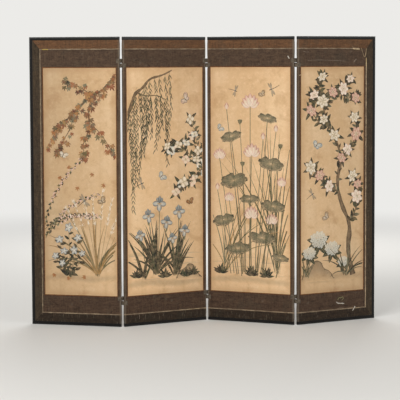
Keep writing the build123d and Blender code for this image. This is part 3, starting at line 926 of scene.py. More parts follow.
def pigmentFinish(name, width, height, light):
    # mineral pigment and ink over the silk: thin where its cover is low, and rubbed off in specks
    look = Finish(name, 0.85, 0.1)
    silk = silkTone(look, width, height, light)
    grain = look.noise(900.0, 2.0)
    cloud = look.noise(40.0, 3.0)
    loss = look.noise(520.0, 3.0, 0.6)
    cover = look.times(look.attribute("cover"), look.span(cloud, 0.25, 0.65, 0.78, 1.0))
    cover = look.times(cover, look.span(loss, 0.72, 0.64, 0.45, 1.0))
    tone = look.attribute("pigment", "Color")
    tone = look.multiply(tone, linear(205, 200, 190), look.span(grain, 0.35, 0.65, 0.0, 0.3))
    look.colour(look.mix(cover, silk, tone))
    look.relief(grain, 0.04 * mm)
    return look


def pictureSilk(panel, finish):
    left, right, low, high = panel.picture
    x = left + (right - left) * steps(right - left, silkLook["step"])
    z = low + (high - low) * steps(high - low, silkLook["step"])
    x, z = np.meshgrid(x, z)
    slack = silkLook["slack"] * ripple(x, z, panel.number * 11, silkLook["slackSize"])
    points = panel.place(x, panel.silkFace + silkLook["lift"] + slack, z)
    piece = makePiece(f"{panel.body}_silk", points, finish, flatMap(x - left, z - low),
                      thickness=silkLook["thickness"])
    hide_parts(f"{panel.body}_picture_silk")
    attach(piece, panel.body)


pigments = {
    "ink": (50, 45, 40), "paleInk": (122, 108, 88), "bark": (106, 88, 70), "barkDark": (62, 52, 44),
    "olive": (104, 96, 66), "green": (66, 72, 56), "deepGreen": (44, 50, 45), "greyGreen": (124, 122, 98),
    "rust": (156, 94, 62), "ochre": (178, 136, 84), "wine": (112, 66, 54), "cream": (234, 218, 190),
    "white": (244, 235, 218), "pink": (220, 176, 156), "rose": (178, 118, 102), "paleBlue": (172, 178, 172),
    "slate": (104, 114, 118), "indigo": (66, 74, 88), "gold": (196, 158, 92), "wash": (172, 146, 108),
}
pigments = {name: np.array(linear(*tone)) for name, tone in pigments.items()}
leafTones = ("olive", "green", "deepGreen", "deepGreen", "greyGreen")
darkLeaves = ("deepGreen", "green", "deepGreen", "ink")
autumnTones = ("rust", "ochre", "olive", "wine", "rust", "greyGreen", "deepGreen")


def pigment(tone):
    # a pigment by its name; a mixed tone, or none, stays as it is
    return pigments[tone] if isinstance(tone, str) else tone


def path(start, heading, length, bend=0.0, sway=0.0, count=8):
    # a brush path: its heading, in degrees from the right, turns by bend and sways once
    t = np.linspace(0, 1, count)
    turn = np.radians(heading + bend * t + sway * np.sin(2 * math.pi * t))
    step = np.stack([np.cos(turn), np.sin(turn)], axis=1) * length / (count - 1)
    moved = np.cumsum((step[1:] + step[:-1]) / 2, axis=0)
    return np.array(start, float) + np.concatenate([np.zeros((1, 2)), moved])


def eased(points, times=3):
    # corner cutting: each corner gives way to two points a quarter of the way in
    line = np.array(points, float)
    for _ in range(times):
        a, b = line[:-1], line[1:]
        cut = np.stack([0.75 * a + 0.25 * b, 0.25 * a + 0.75 * b], axis=1).reshape(-1, 2)
        line = np.concatenate([line[:1], cut, line[-1:]])
    return line


def headingAt(line, index):
    # the direction of a path at one of its points, in degrees
    before, after = line[max(index - 1, 0)], line[min(index + 1, len(line) - 1)]
    return math.degrees(math.atan2(after[1] - before[1], after[0] - before[0]))


def bearing(degrees):
    # the unit step that way: cosine and sine
    return np.array([math.cos(math.radians(degrees)), math.sin(math.radians(degrees))])


def turnMatrix(degrees):
    # the matrix that turns by an angle
    right, up = bearing(degrees)
    return np.array([[right, -up], [up, right]])


def ribbon(spine, half, side):
    # a path spread to both sides: each point lies a share of the half width along the normal
    along = np.gradient(spine, axis=0)
    along = along / (np.linalg.norm(along, axis=1, keepdims=True) + 1e-9)
    normal = np.stack([-along[:, 1], along[:, 0]], axis=1)
    return spine[:, None] + normal[:, None] * side[None, :, None] * half[:, None, None]


class Brushwork:
    # Gathers one panel's brush strokes. Places are millimetres from the silk's lower left corner.
    # Each stroke is a grid of points along and across its path.
    def __init__(self, panel, seed):
        self.chance = np.random.default_rng(seed)
        self.vary, self.stray = self.chance.uniform, self.chance.normal
        left, right, low, high = panel.picture
        self.panel = panel
        self.width, self.height = right - left, high - low
        self.points, self.quads, self.tones, self.covers, self.layers = [], [], [], [], []
        self.total = 0
        self.tilt = None
        size = np.array([self.width, self.height]) / pigmentLook["cell"]
        self.top = np.zeros(np.ceil(size).astype(int) + 2, int)  # the highest layer in each cell

    def pick(self, tones):
        return tones[self.chance.integers(len(tones))]

    def tilted(self, centre=None, angle=0.0, squash=1.0):
        # foreshortens what is drawn next: squashes it across a line through its centre
        spin = turnMatrix(angle)
        matrix = spin @ np.diag([1, squash]) @ spin.T
        self.tilt = None if centre is None else (np.array(centre, float), matrix)

    def layerFor(self, grid):
        # one above the highest stroke under this one, with the grid made close enough to touch
        # every cell that it crosses
        for axis in (0, 1):
            count = grid.shape[axis] - 1
            gap = np.abs(np.diff(grid, axis=axis)).max()
            spots = np.linspace(0, count, count * int(gap / pigmentLook["cell"] * 1.5 + 1) + 1)
            low = np.minimum(spots.astype(int), count - 1)
            share = (spots - low)[:, None, None] if axis == 0 else (spots - low)[None, :, None]
            grid = np.take(grid, low, axis) * (1 - share) + np.take(grid, low + 1, axis) * share
        cell = np.floor(grid.reshape(-1, 2) / pigmentLook["cell"]).astype(int) + 1
        cell = np.clip(cell, 0, np.array(self.top.shape) - 1)
        layer = 1 + self.top[cell[:, 0], cell[:, 1]].max()
        self.top[cell[:, 0], cell[:, 1]] = layer
        return layer

    def gather(self, grid, tone, cover, quads=None, under=False):
        if self.tilt is not None:
            centre, matrix = self.tilt
            grid = centre + (grid - centre) @ matrix.T
        rows, cols = grid.shape[:2]
        if quads is None:
            quads = gridQuads(rows, cols)[:, ::-1]
        self.quads.append(quads + self.total)
        self.total += rows * cols
        self.points.append(grid.reshape(-1, 2))
        self.tones.append(np.broadcast_to(tone, (rows, cols, 3)).reshape(-1, 3))
        self.covers.append(np.broadcast_to(cover, (rows, cols)).ravel())
        layer = -sum(k <= 0 for k in self.layers) if under else self.layerFor(grid)
        self.layers.append(layer)

    def stroke(self, spine, half, start, end=None, rim=None, cover=1.0, tip=None, across=3):
        # a path spread to both sides by its half width, one or a pair for its two ends; the tone
        # runs from start to end, and towards rim at its sides; the cover runs from cover to tip
        count = len(spine)
        start, end, rim = pigment(start), pigment(start if end is None else end), pigment(rim)
        half = np.linspace(*half, count) if isinstance(half, tuple) else half
        half = np.maximum(np.broadcast_to(half, (count,)), pigmentLook["leastHalf"])
        side = np.linspace(-1, 1, across)
        t = np.linspace(0, 1, count)[:, None, None]
        tone = start * (1 - t) + end * t
        if rim is not None:
            tone = tone + (rim - tone) * np.abs(side)[None, :, None] ** 2
        tone = tone * (1 + pigmentLook["drift"] * self.vary(-1, 1))
        t = t[..., 0]
        cover = cover * (1 - t) + (cover if tip is None else tip) * t * np.ones((1, across))
        self.gather(ribbon(spine, half, side), tone, cover)

    def leaf(self, base, heading, length, width, start, end=None, rim=None, bend=0.0, full=0.8,
             blunt=0.85, vein=None, count=8, across=3, cover=1.0):
        # its half width is the sine of pi t^full, to the power blunt
        spine = path(base, heading, length, bend, count=count)
        t = np.linspace(0, 1, count)
        half = width / 2 * np.sin(math.pi * t ** full) ** blunt
        self.stroke(spine, half, start, end, rim, cover, across=across)
        if vein is not None:
            self.stroke(spine[:-1], (0.045 * width, 0.02 * width), vein, cover=0.8)

    def petal(self, base, heading, length, width, start, end, rim=None, bend=0.0):
        self.leaf(base, heading, length, width, start, end, rim, bend, full=1.25, blunt=0.6, across=5)

    def hair(self, place, heading, length, half, tone, bend=0.0, count=4, cover=1.0):
        self.stroke(path(place, heading, length, bend, count=count), half, tone, cover=cover)

    def dab(self, place, size, tone, heading=0.0):
        self.leaf(place, heading, size, size * 0.8, tone, full=1.0, blunt=0.6, count=5)

    def disc(self, centre, radiusX, radiusZ, angle, inner, outer, wave, lobes=9, cover=1.0, split=None):
        # rings of points round a centre; the rim waves in and out, and a notch may be left open
        share = np.array([0.03, 0.2, 0.4, 0.6, 0.78, 0.92, 1.0])[:, None]
        turn = np.linspace(0, 2 * math.pi, 41)[None, :-1]
        phase = self.vary(0, 6)
        rim = 1 + share ** 2 * wave * (np.sin(lobes * turn + phase) + 0.6 * np.sin(2.3 * lobes * turn))
        if split is not None:
            gap = np.abs((turn - math.radians(split) + math.pi) % (2 * math.pi) - math.pi)
            rim = rim * (1 - 0.4 * share * np.exp(-(gap / 0.16) ** 2))
        x, z = radiusX * share * rim * np.cos(turn), radiusZ * share * rim * np.sin(turn)
        right, up = bearing(angle)
        grid = np.stack([centre[0] + x * right - z * up, centre[1] + x * up + z * right], axis=-1)
        blend = (share ** 1.4)[..., None] * (0.82 + 0.18 * np.sin(lobes * turn + phase))[..., None]
        tone = pigment(inner) * (1 - blend) + pigment(outer) * blend
        rows, cols = grid.shape[:2]
        a = np.arange((rows - 1) * cols).reshape(rows - 1, cols)
        b = np.roll(a, -1, axis=1)
        quads = np.stack([a, a + cols, b + cols, b], axis=-1).reshape(-1, 4)
        self.gather(grid, tone, cover, quads)

    def wash(self, line, half, tone, cover):
        # a soft band of thin ink: its cover fades to nothing at both sides and at both ends
        spine = eased(line, 4)
        side = np.linspace(-1, 1, 9)
        t = np.linspace(0, 1, len(spine))
        spread = half * (0.7 + 0.3 * np.sin(math.pi * t)) * (1 + 0.12 * np.sin(t * 31))
        fade = (1 - side[None] ** 2) ** 1.5 * (np.sin(math.pi * t) ** 0.5)[:, None]
        self.gather(ribbon(spine, spread, side), pigment(tone), cover * fade, under=True)

    def pieces(self, name, finish):
        # the strokes in turn as thin reliefs on the silk, without what falls outside it; a new
        # relief begins where one would get too many quads
        layers = np.array(self.layers)
        step = min(pigmentLook["step"], pigmentLook["most"] / layers.max())
        washes = pigmentLook["wash"] - pigmentLook["washStep"] * layers
        lifts = np.where(layers > 0, pigmentLook["lift"] + step * layers, washes)
        counts = np.cumsum([len(q) for q in self.quads])
        batch = (counts // pigmentLook["quads"]).tolist()
        starts = np.cumsum([0] + [len(p) for p in self.points])
        for number in sorted(set(batch)):
            own = [i for i, k in enumerate(batch) if k == number]
            first, last = own[0], own[-1] + 1
            lift = np.repeat(lifts[first:last], [len(p) for p in self.points[first:last]])
            self.relief(f"{name}_{number + 1}", finish, first, last, starts[first], lift)
        print(f"{name}: {len(self.quads)} strokes in {layers.max()} layers, {counts[-1]} quads")

    def relief(self, name, finish, first, last, start, lift):
        panel = self.panel
        flat = np.concatenate(self.points[first:last])
        margin = pigmentLook["margin"]
        inside = (flat > margin) & (flat < np.array([self.width, self.height]) - margin)
        quads = np.concatenate(self.quads[first:last]) - start
        quads = quads[inside.all(1)[quads].all(1)]
        corner = flat[quads]
        one, other = corner[:, 2] - corner[:, 0], corner[:, 3] - corner[:, 1]
        area = (one[:, 0] * other[:, 1] - one[:, 1] * other[:, 0]) / 2
        quads = quads[np.abs(area) > pigmentLook["leastArea"]]
        kept, quads = np.unique(quads, return_inverse=True)
        quads = quads.reshape(-1, 4)
        flat = flat[kept]
        left, _, low, _ = panel.picture
        points = panel.place(flat[:, 0] + left, panel.silkFace - lift[kept], flat[:, 1] + low)
        fields = {
            "pigment": np.concatenate(self.tones[first:last])[kept],
            "cover": np.concatenate(self.covers[first:last])[kept],
        }
        made = makePiece(name, points, finish, flat * mm, fields, pigmentLook["thickness"], quads=quads,
                         rounded=False)
        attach(made, panel.body)


def mapleLeaf(b, place, heading, size, tone, tip):
    # five pointed lobes round a short stalk
    for turn, share in ((-82, 0.55), (82, 0.55), (-40, 0.82), (40, 0.82), (0, 1.0)):
        b.leaf(place, heading + turn, size * share, size * 0.3, tone, tip, full=0.85, vein="wine", count=6)
    b.hair(place, heading + 180, size * 0.5, 0.5, tone, 20)


def bough(b, points, thick, thin, dabs=14):
    # a limb: bark with dark sides, and short dry strokes along it
    line = eased(points)
    t = np.linspace(0, 1, len(line))
    half = (thick * (1 - t) + thin * t) / 2 * (1 + 0.16 * np.sin(t * 37) + 0.1 * np.sin(t * 91))
    b.stroke(line, half, "bark", "bark", "barkDark", 0.95, across=5)
    for i in b.chance.integers(1, len(line) - 2, dabs):
        turn = headingAt(line, i)
        start = line[i] + half[i] * b.vary(-0.7, 0.7) * bearing(turn + 90)
        b.hair(start, turn + b.vary(-12, 12), half[i] * 3 + 4, 0.5, "ink", 10, cover=0.8)
    return line


def leafSpray(b, line, count, size, tones, maple=False):
    # leaves along a twig, to both sides in turn; maple leaves hang beside it
    for k in range(count):
        i = int((k + 0.5) / count * (len(line) - 1))
        away = b.stray(0, 14, 2)
        turn = headingAt(line, i) + (1 if k % 2 else -1) * b.vary(25, 80)
        tone, tip = b.pick(tones), b.pick(tones)
        big = size * b.vary(0.7, 1.2)
        if maple:
            mapleLeaf(b, line[i] + away + (0, -8), b.vary(-130, -50), big, tone, tip)
        else:
            b.leaf(line[i], turn, big, big * 0.42, tone, tip, bend=b.vary(-30, 30), vein="ink", across=5)


def leafCluster(b, place, size, count, tones, heading=-90.0, fan=150.0):
    # pointed leaves that spread from one bud, the outer ones shorter
    for k in range(count):
        turn = heading + fan * ((k + 0.5) / count - 0.5) + b.vary(-7, 7)
        reach = size * (1 - 0.3 * abs(turn - heading) / fan) * b.vary(0.85, 1.1)
        b.leaf(place, turn, reach, reach * 0.3, b.pick(tones), b.pick(tones),
               bend=(turn - heading) * 0.2, vein="greyGreen", across=5)


def grassBlades(b, root, count, length, width, tones, lean=0.0, fan=34.0, bend=40.0):
    # arching blades from one root
    for _ in range(count):
        turn = b.stray(0, 1)
        start = np.array(root) + (b.stray(0, 9), b.vary(-6, 6))
        b.leaf(start, 90 + lean - turn * fan * 0.6, length * b.vary(0.55, 1.1), width, b.pick(tones),
               b.pick(tones), bend=-turn * bend - lean * 0.3, full=0.6, count=14, vein="olive", blunt=0.8)


def plumes(b, root, count, length, fan):
    # tall stems that end in pale feathery plumes
    for k in range(count):
        lean = fan * ((k + 0.5) / count - 0.5)
        stem = path((root[0] + 4 * k, root[1]), 90 - lean, length * b.vary(0.8, 1.1), -0.6 * lean, count=16)
        b.stroke(stem, (1.4, 0.7), "ochre", "greyGreen")
        for _ in range(46):
            i = b.chance.integers(10, 16)
            b.leaf(stem[i] + b.stray(0, 3, 2), headingAt(stem, i) + b.stray(0, 17), b.vary(14, 32), 1.7,
                   "white", "cream", bend=b.vary(-40, 40), count=4)


def bushClover(b, start, heading, length, bend):
    # a fine arching stem with leaves in threes, and small flowers towards its tip
    line = path(start, heading, length, bend, count=26)
    b.stroke(line, (1.5, 0.5), "olive", "rust")
    for k in range(3, 26):
        turn = headingAt(line, k) + (60 if k % 2 else -60)
        for fan in (-40, 0, 40):
            b.leaf(line[k], turn + fan, 15, 8, b.pick(leafTones), full=1.0, count=5)
        for _ in range(3 if k > 9 else 0):
            spot = line[k] + b.stray(0, 6, 2)
            b.petal(spot, b.vary(0, 360), 9, 8, "white", "pink", "rose")


def bellflower(b, place, heading, size, tone, tip):
    # five pointed petals seen a little from the side, and a pale heart
    b.tilted(place, heading, 0.8)
    for k in range(5):
        b.petal(place, heading + 72 * k, size, size * 0.72, "white", tone, tip)
        b.hair(place, heading + 72 * k, size * 0.8, 0.35, tip, cover=0.8)
    b.dab(place, size * 0.22, "white")
    b.tilted()


def blossom(b, place, radius, petals, inner, outer, rim, angle, squash, rings=2):
    # rings of broad petals, smaller towards the heart, and fine stamens with dots of gold
    b.tilted(place, angle, squash)
    first = b.vary(0, 360)
    for ring in range(rings):
        size = radius * (1 - 0.34 * ring)
        for k in range(petals):
            turn = first + 360 * (k + 0.5 * ring) / petals + b.vary(-6, 6)
            b.petal(place, turn, size, size * 4.2 / petals, inner, outer, rim, b.vary(-12, 12))
            b.hair(np.array(place) + size * 0.3 * bearing(turn), turn, size * 0.5, 0.3, rim, 8, cover=0.45)
    for _ in range(12):
        turn = b.vary(0, 360)
        line = path(place, turn, radius * b.vary(0.18, 0.34), count=4)
        b.stroke(line, 0.4, "olive", cover=0.8)
        b.dab(line[-1], 2.4, "gold", heading=turn)
    b.tilted()


def flowerSpray(b, points, flowers, radius, leaves, leafSize, pairs):
    # an arching twig with leaves to both sides and open four-petalled flowers along it
    line = bough(b, points, 5, 1.6, 6)
    leafSpray(b, line, leaves, leafSize, leafTones)
    for k in range(flowers):
        i = int((k + 0.6) / flowers * (len(line) - 1))
        spot = line[i] + b.stray(0, radius * 0.7, 2)
        outer, rim = pairs[k % len(pairs)]
        leafCluster(b, spot, radius * 1.9, 4, darkLeaves, b.vary(0, 360), 300)
        blossom(b, spot, radius * b.vary(0.8, 1.15), 4, "cream", outer, rim, b.vary(0, 180),
                b.vary(0.65, 0.95), 1)


def butterfly(b, place, heading, span, tone, tip, rim):
    # two broad wings and two small ones on each side, one side turned away
    for side, far in ((1, 0.78), (-1, 1.0)):
        b.petal(place, heading + side * 128, span * 0.36 * far, span * 0.34, tone, tip, rim, side * -14)
        b.petal(place, heading + side * 62, span * 0.56 * far, span * 0.38, tone, tip, rim, side * 10)
        for turn, reach in ((62, 0.4), (70, 0.3), (128, 0.24)):
            spot = path(place, heading + side * turn, span * reach * far, count=3)[-1]
            b.dab(spot, span * 0.07, rim, heading=heading + side * turn)
        for turn in (48, 60, 74, 118, 136):
            b.hair(place, heading + side * turn, span * 0.3 * far, 0.3, rim, count=3, cover=0.5)
    body = path(place, heading, span * 0.16, count=4)
    tail = path(place, heading + 180, span * 0.2, count=3)[-1]
    b.leaf(tail, heading, span * 0.38, span * 0.07, "ink", "bark")
    for side in (-1, 1):
        b.hair(body[-1], heading + side * 16, span * 0.24, 0.3, "ink", side * 30, 6)


def dragonfly(b, place, heading, size):
    # a long jointed body, and four narrow clear wings with dark tips
    for turn, reach in ((80, 0.52), (104, 0.47), (-76, 0.5), (-100, 0.45)):
        b.leaf(place, heading + turn, size * reach, size * 0.13, "paleBlue", "paleInk", "paleInk",
               full=1.1, blunt=0.6, cover=0.7)
        b.hair(place, heading + turn, size * reach * 0.95, 0.35, "ink", 3, cover=0.7)
    tail = path(place, heading + 180, size * 0.62, 12, count=12)
    ring = 1 + 0.3 * (np.arange(12) % 2)
    b.stroke(tail, np.linspace(size * 0.022, size * 0.012, 12) * ring, "indigo", "rust", "ink")
    chest = path(place, heading + 180, size * 0.08, count=3)[-1]
    b.leaf(chest, heading, size * 0.2, size * 0.1, "slate", "ink", full=1.0)
    b.dab(path(place, heading, size * 0.1, count=3)[-1], size * 0.08, "ink", heading=heading)


def iris(b, place, size, lean=0.0):
    # three broad falls that hang, three upright standards, gold at the throat
    for turn, share in ((128, 0.72), (52, 0.72), (90, 0.85)):
        b.petal(place, turn + lean, size * share, size * 0.42, "slate", "paleBlue", "indigo",
                (90 - turn) * 0.5)
    for turn, share, curl in ((198, 0.9, -30), (-18, 0.9, 30), (-92, 0.95, 8)):
        b.petal(place, turn + lean, size * share, size * 0.62, "white", "paleBlue", "indigo", curl)
        b.leaf(place, turn + lean, size * 0.34, size * 0.1, "gold", "ochre")
        for extra in (-16, 16):
            b.hair(place, turn + lean + extra, size * 0.62, 0.3, "indigo", count=5, cover=0.6)


def longStem(b, root, place, thick, bow=5.0):
    middle = (root[0] * 0.6 + place[0] * 0.4 + bow, (root[1] + place[1]) / 2)
    stem = eased([root, middle, place])
    b.stroke(stem, (thick, thick * 0.7), "olive", "greyGreen", "green")


def lotusLeaf(b, place, radius, squash, angle, root):
    # a wide leaf seen aslant on its long stem: light at its heart, dark and torn at its rim, a
    # folded lip on its near side, and veins that fork
    longStem(b, root, place, 2.6)
    b.disc(place, radius, radius * squash, angle, "greyGreen", "deepGreen", 0.07, 7, 0.95, b.vary(60, 120))
    heart = np.array(place, float)

    def rimPoint(turn, share):
        return heart + turnMatrix(angle) @ (radius * share * bearing(turn) * (1, squash))

    for turn in np.linspace(195, 345, 9):  # the lip shows the paler underside
        lip = np.array([rimPoint(turn - 9, 0.97), rimPoint(turn, 0.8), rimPoint(turn + 9, 0.97)])
        b.stroke(eased(lip), radius * 0.035, "paleInk", "greyGreen", cover=0.75)
    for k in range(16):
        turn = 360 * k / 16 + b.vary(-5, 5)
        reach = b.vary(0.78, 0.92)
        line = heart + np.linspace(0, 1, 6)[:, None] * (rimPoint(turn, reach) - heart)
        b.stroke(line, (1.1, 0.35), "wash", "greyGreen", cover=0.85)
        for side in (-8, 8):
            fork = line[3] + np.linspace(0, 1, 4)[:, None] * (rimPoint(turn + side, reach) - line[3])
            b.stroke(fork, 0.4, "greyGreen", cover=0.8)
    b.dab((place[0] - 3, place[1]), 6, "cream")


def lotusFlower(b, place, size, root, openness):
    # pointed petals that fan out behind, then the front ones, on a long stem
    longStem(b, root, place, 2.2, -5)
    for turn in (-78, 78, -52, 52, -27, 27, 0):
        b.leaf(place, 90 + turn * openness, size * (1 - abs(turn) / 420), size * 0.42, "white", "pink",
               "rose", full=1.05, blunt=0.75, across=5, bend=-turn * 0.25)
    for turn in (-95, 95, -60, 60, -20, 20):
        base, tip = 90 + turn * openness, size * 0.66
        b.leaf(place, base, tip, size * 0.4, "white", "cream", "pink",
               full=1.0, blunt=0.7, across=5, bend=-turn * 0.4)
        for fan in (-7, 0, 7):
            b.hair(place, base + fan, tip * 0.8, 0.25, "rose", -turn * 0.4, 5, 0.4)


def seedPod(b, place, size, root):
    # a flat-topped cone with seeds in its pits
    longStem(b, root, place, 2.0)
    b.leaf((place[0], place[1] - size * 0.5), 90, size, size * 0.8, "olive", "greyGreen", "green",
           full=2.2, blunt=0.8, across=5)
    b.disc((place[0], place[1] + size * 0.42), size * 0.45, size * 0.17, 0, "greyGreen", "olive", 0.02)
    for k in range(7):
        turn = 2.4 * k
        spot = (place[0] + size * 0.3 * math.cos(turn), place[1] + size * (0.42 + 0.09 * math.sin(turn)))
        b.dab(spot, size * 0.09, "ink")


goldenAngle = 137.5


def hydrangea(b, place, radius, florets):
    # a dome of small four-petalled florets, paler towards its top
    for k in range(florets):
        reach = radius * math.sqrt((k + 0.5) / florets)
        spot = np.array(place) + reach * bearing(k * goldenAngle) * (1, 0.8)
        share = 0.5 + 0.5 * (spot[1] - place[1]) / radius
        tone = pigments["paleBlue"] * (1 - share) + pigments["cream"] * share
        size = radius * 0.17 * b.vary(0.85, 1.15)
        first = b.vary(0, 90)
        for q in range(4):
            b.leaf(spot, first + 90 * q, size, size * 0.9, "white", tone, tone * 0.8,
                   full=1.2, blunt=0.6, count=5)
        b.dab(spot, 2.2, "olive")


def willowStrand(b, start, length, bend, tones):
    # a hanging twig with narrow leaves to both sides
    line = path(start, -90, length, bend, sway=6, count=24)
    b.stroke(line, (1.0, 0.4), "olive", "greyGreen")
    leaves = int(length / 13)
    for k in range(leaves):
        i = 1 + int(k * 22 / leaves)
        side = 1 if k % 2 else -1
        b.leaf(line[i], headingAt(line, i) + side * b.vary(14, 38), b.vary(24, 40), 5.2,
               b.pick(tones), b.pick(tones), bend=-side * 12, count=6)


def waterLines(b, lines):
    # long thin strokes that swell and fade
    for start, end, z in lines:
        x = np.linspace(start, end, 26)
        t = np.linspace(0, 1, 26)
        line = np.stack([x, z + 3.5 * np.sin(x / 31.0) * np.sin(math.pi * t)], axis=1)
        b.stroke(line, 0.5 + 1.2 * np.sin(math.pi * t), "slate", cover=0.5, tip=0.3)


def rock(b, points, base):
    # a garden stone: grey washes between its outline and its foot, cracks, an outline that
    # swells and breaks off, and moss dots
    line = eased(points)
    share = np.linspace(0, 1, 9)[None, :, None]  # 0 at the foot, 1 at the outline
    foot = np.stack([line[:, 0], np.full(len(line), float(base))], axis=1)
    grid = foot[:, None] * (1 - share) + line[:, None] * share
    cloud = 0.5 + 0.5 * ripple(grid[..., 0], grid[..., 1], 9, 46)[..., None]
    tone = pigments["paleInk"] * (1 - cloud) + pigments["bark"] * cloud
    ends = np.sin(math.pi * np.linspace(0, 1, len(line)))[:, None] ** 0.4
    b.gather(grid, tone, 0.8 * share[..., 0] ** 0.8 * ends)
    for i in range(6, len(line) - 6, 7):
        depth = 0.6 * (line[i, 1] - base)
        crack = path(line[i], -90 + b.vary(-34, 34), depth, b.vary(-30, 30), count=7)
        b.stroke(crack, (1.3, 0.3), "barkDark", "paleInk", cover=0.7, tip=0.3)
    t = np.linspace(0, 1, len(line))
    b.stroke(line, 1.5 + 1.2 * np.sin(t * 23) ** 2, "ink", "barkDark", cover=0.85)
    for i in b.chance.integers(2, len(line) - 2, 26):
        drop = b.vary(-0.3, 0.02) * (line[i, 1] - base)
        b.dab(line[i] + (b.stray(0, 7), drop), b.vary(3, 6), "green")


def autumnMaple(b):
    # a maple bough from the upper right; bush clover, bellflowers and plumed grass below
    w = b.width
    b.wash([(0, 96), (120, 118), (270, 92), (w, 112)], 26, "paleInk", 0.35)
    b.wash([(-20, 470), (90, 500), (180, 480)], 22, "wash", 0.35)
    limbs = (  # each bough's bends, its thickness at both ends and its dabs, then its leaves and their size
        ([(w - 4, 1296), (w - 70, 1210), (w - 150, 1180), (190, 1080), (120, 1010), (60, 985)],
         20, 5, 26, 46, 33),
        ([(w - 128, 1186), (270, 1090), (292, 990), (240, 900), (250, 820)], 11, 3, 14, 38, 31),
        ([(190, 1080), (170, 985), (110, 900), (92, 850)], 7, 2, 8, 26, 29),
        ([(w - 150, 1180), (220, 1235), (130, 1262)], 8, 2.5, 8, 26, 28),
        ([(292, 1010), (360, 950), (400, 880), (430, 850)], 6, 2, 8, 24, 28),
        ([(92, 990), (52, 930), (30, 880)], 4, 1.5, 4, 12, 26),
    )
    lines = [bough(b, *limb[:4]) for limb in limbs]
    for line, limb in zip(lines, limbs):
        leafSpray(b, line, *limb[4:], autumnTones, True)
    fallen = ((150, 760, -40), (300, 720, -120), (205, 640, -80), (372, 655, -150), (95, 700, -60),
              (60, 590, -20), (250, 110, -170), (140, 98, 10), (60, 122, -120))
    for x, z, turn in fallen:
        mapleLeaf(b, (x, z), turn, 26, "rust", "ochre")
    clovers = ((300, 72, 470, -62), (326, 60, 400, -76), (352, 84, 520, -44), (378, 50, 330, -70))
    for z, *clover in clovers:
        bushClover(b, (-6, z), *clover)
    grassBlades(b, (330, 118), 28, 420, 8, ("olive", "greyGreen", "ochre", "green"), 10, 30, 46)
    plumes(b, (316, 130), 8, 460, 44)
    stalks = ((92, 330, 20, 29), (150, 402, 70, 32), (206, 342, 40, 28), (120, 262, 10, 27),
              (182, 268, 95, 30), (66, 232, 50, 25), (232, 250, 30, 23), (108, 190, 60, 24))
    for x, z, turn, size in stalks:
        stem = eased([(160, 106), (x + (160 - x) * 0.3, 0.6 * z + 36), (x, z)])
        b.stroke(stem, 1.1, "green", "olive")
        leafSpray(b, stem[3:], 9, 36, darkLeaves)
        bellflower(b, (x, z), turn, size, "paleBlue", "indigo")
    dragonfly(b, (250, 560), 35, 92)
    butterfly(b, (120, 830), 70, 62, "white", "cream", "bark")
    butterfly(b, (356, 560), 130, 66, "cream", "ochre", "barkDark")


def willowStream(b):
    # willow strands from the upper left and right, mock orange, and irises at a stream
    w = b.width
    lines = [(30, 300, 150), (180, 470, 118), (60, 250, 92), (300, 500, 172), (20, 190, 196),
             (250, 420, 206), (330, 505, 232), (10, 150, 232)]
    waterLines(b, lines)
    b.wash([(-10, 60), (150, 78), (330, 56), (w, 74)], 30, "paleInk", 0.4)
    b.wash([(-10, 236), (120, 250), (250, 238)], 16, "wash", 0.4)
    rock(b, [(326, 84), (344, 128), (384, 140), (410, 172), (446, 160), (462, 118), (500, 82)], 74)
    bends = [(-6, 1040), (34, 1120), (52, 1190), (112, 1222), (150, 1276), (236, 1292), (300, 1322)]
    trunk = bough(b, bends, 26, 6, 34)
    side = bough(b, [(60, 1196), (128, 1170), (196, 1180), (262, 1150)], 10, 3, 10)
    for k in range(13):
        i = int(6 + k * (len(trunk) - 8) / 13)
        length = b.vary(260, 640) * (1 - 0.03 * k)
        willowStrand(b, trunk[i], length, b.vary(-10, 12), leafTones)
    for k in range(6):
        willowStrand(b, side[int(8 + k * (len(side) - 9) / 6)], b.vary(180, 420), b.vary(-8, 12), darkLeaves)
    pairs = ("white", "paleBlue"), ("white", "wash"), ("cream", "pink")
    sprays = (
        ([(w + 4, 770), (440, 800), (372, 872), (318, 880), (262, 850)], 8, 33, 24, 38),
        ([(w + 4, 740), (452, 700), (402, 640), (340, 622)], 6, 32, 20, 36),
        ([(w + 4, 800), (470, 880), (462, 960), (420, 1020)], 5, 29, 18, 34),
    )
    for spray in sprays:
        flowerSpray(b, *spray, pairs)
    for root, count in (((196, 118), 24), ((318, 104), 18), ((110, 96), 8)):
        grassBlades(b, root, count, 320, 13, darkLeaves, 0, 24, 22)
    flowers = ((140, 470, 180, 48, 8), (214, 540, 198, 52, -4), (262, 428, 214, 46, -10),
               (346, 486, 322, 48, 6), (384, 372, 330, 42, -8), (84, 356, 130, 40, 14),
               (300, 330, 312, 38, 10))
    for x, z, root, size, lean in flowers:
        stem = eased([(root, 120), ((root + x) / 2 + 4, z * 0.6), (x, z)])
        b.stroke(stem, 2.0, "olive", "greyGreen", "green")
        b.leaf((x - 2, z - 62), 86, 60, 13, "greyGreen", "olive", full=0.9)
        iris(b, (x, z), size, lean)
    for x, z in ((60, 104), (250, 96), (390, 92), (440, 100)):
        leafCluster(b, (x, z), 58, 7, darkLeaves, 90, 150)
    butterfly(b, (392, 1150), 150, 80, "white", "pink", "bark")
    butterfly(b, (230, 700), 40, 70, "white", "paleBlue", "slate")
    butterfly(b, (420, 540), 110, 60, "ochre", "rust", "barkDark")
    dragonfly(b, (96, 660), 20, 84)


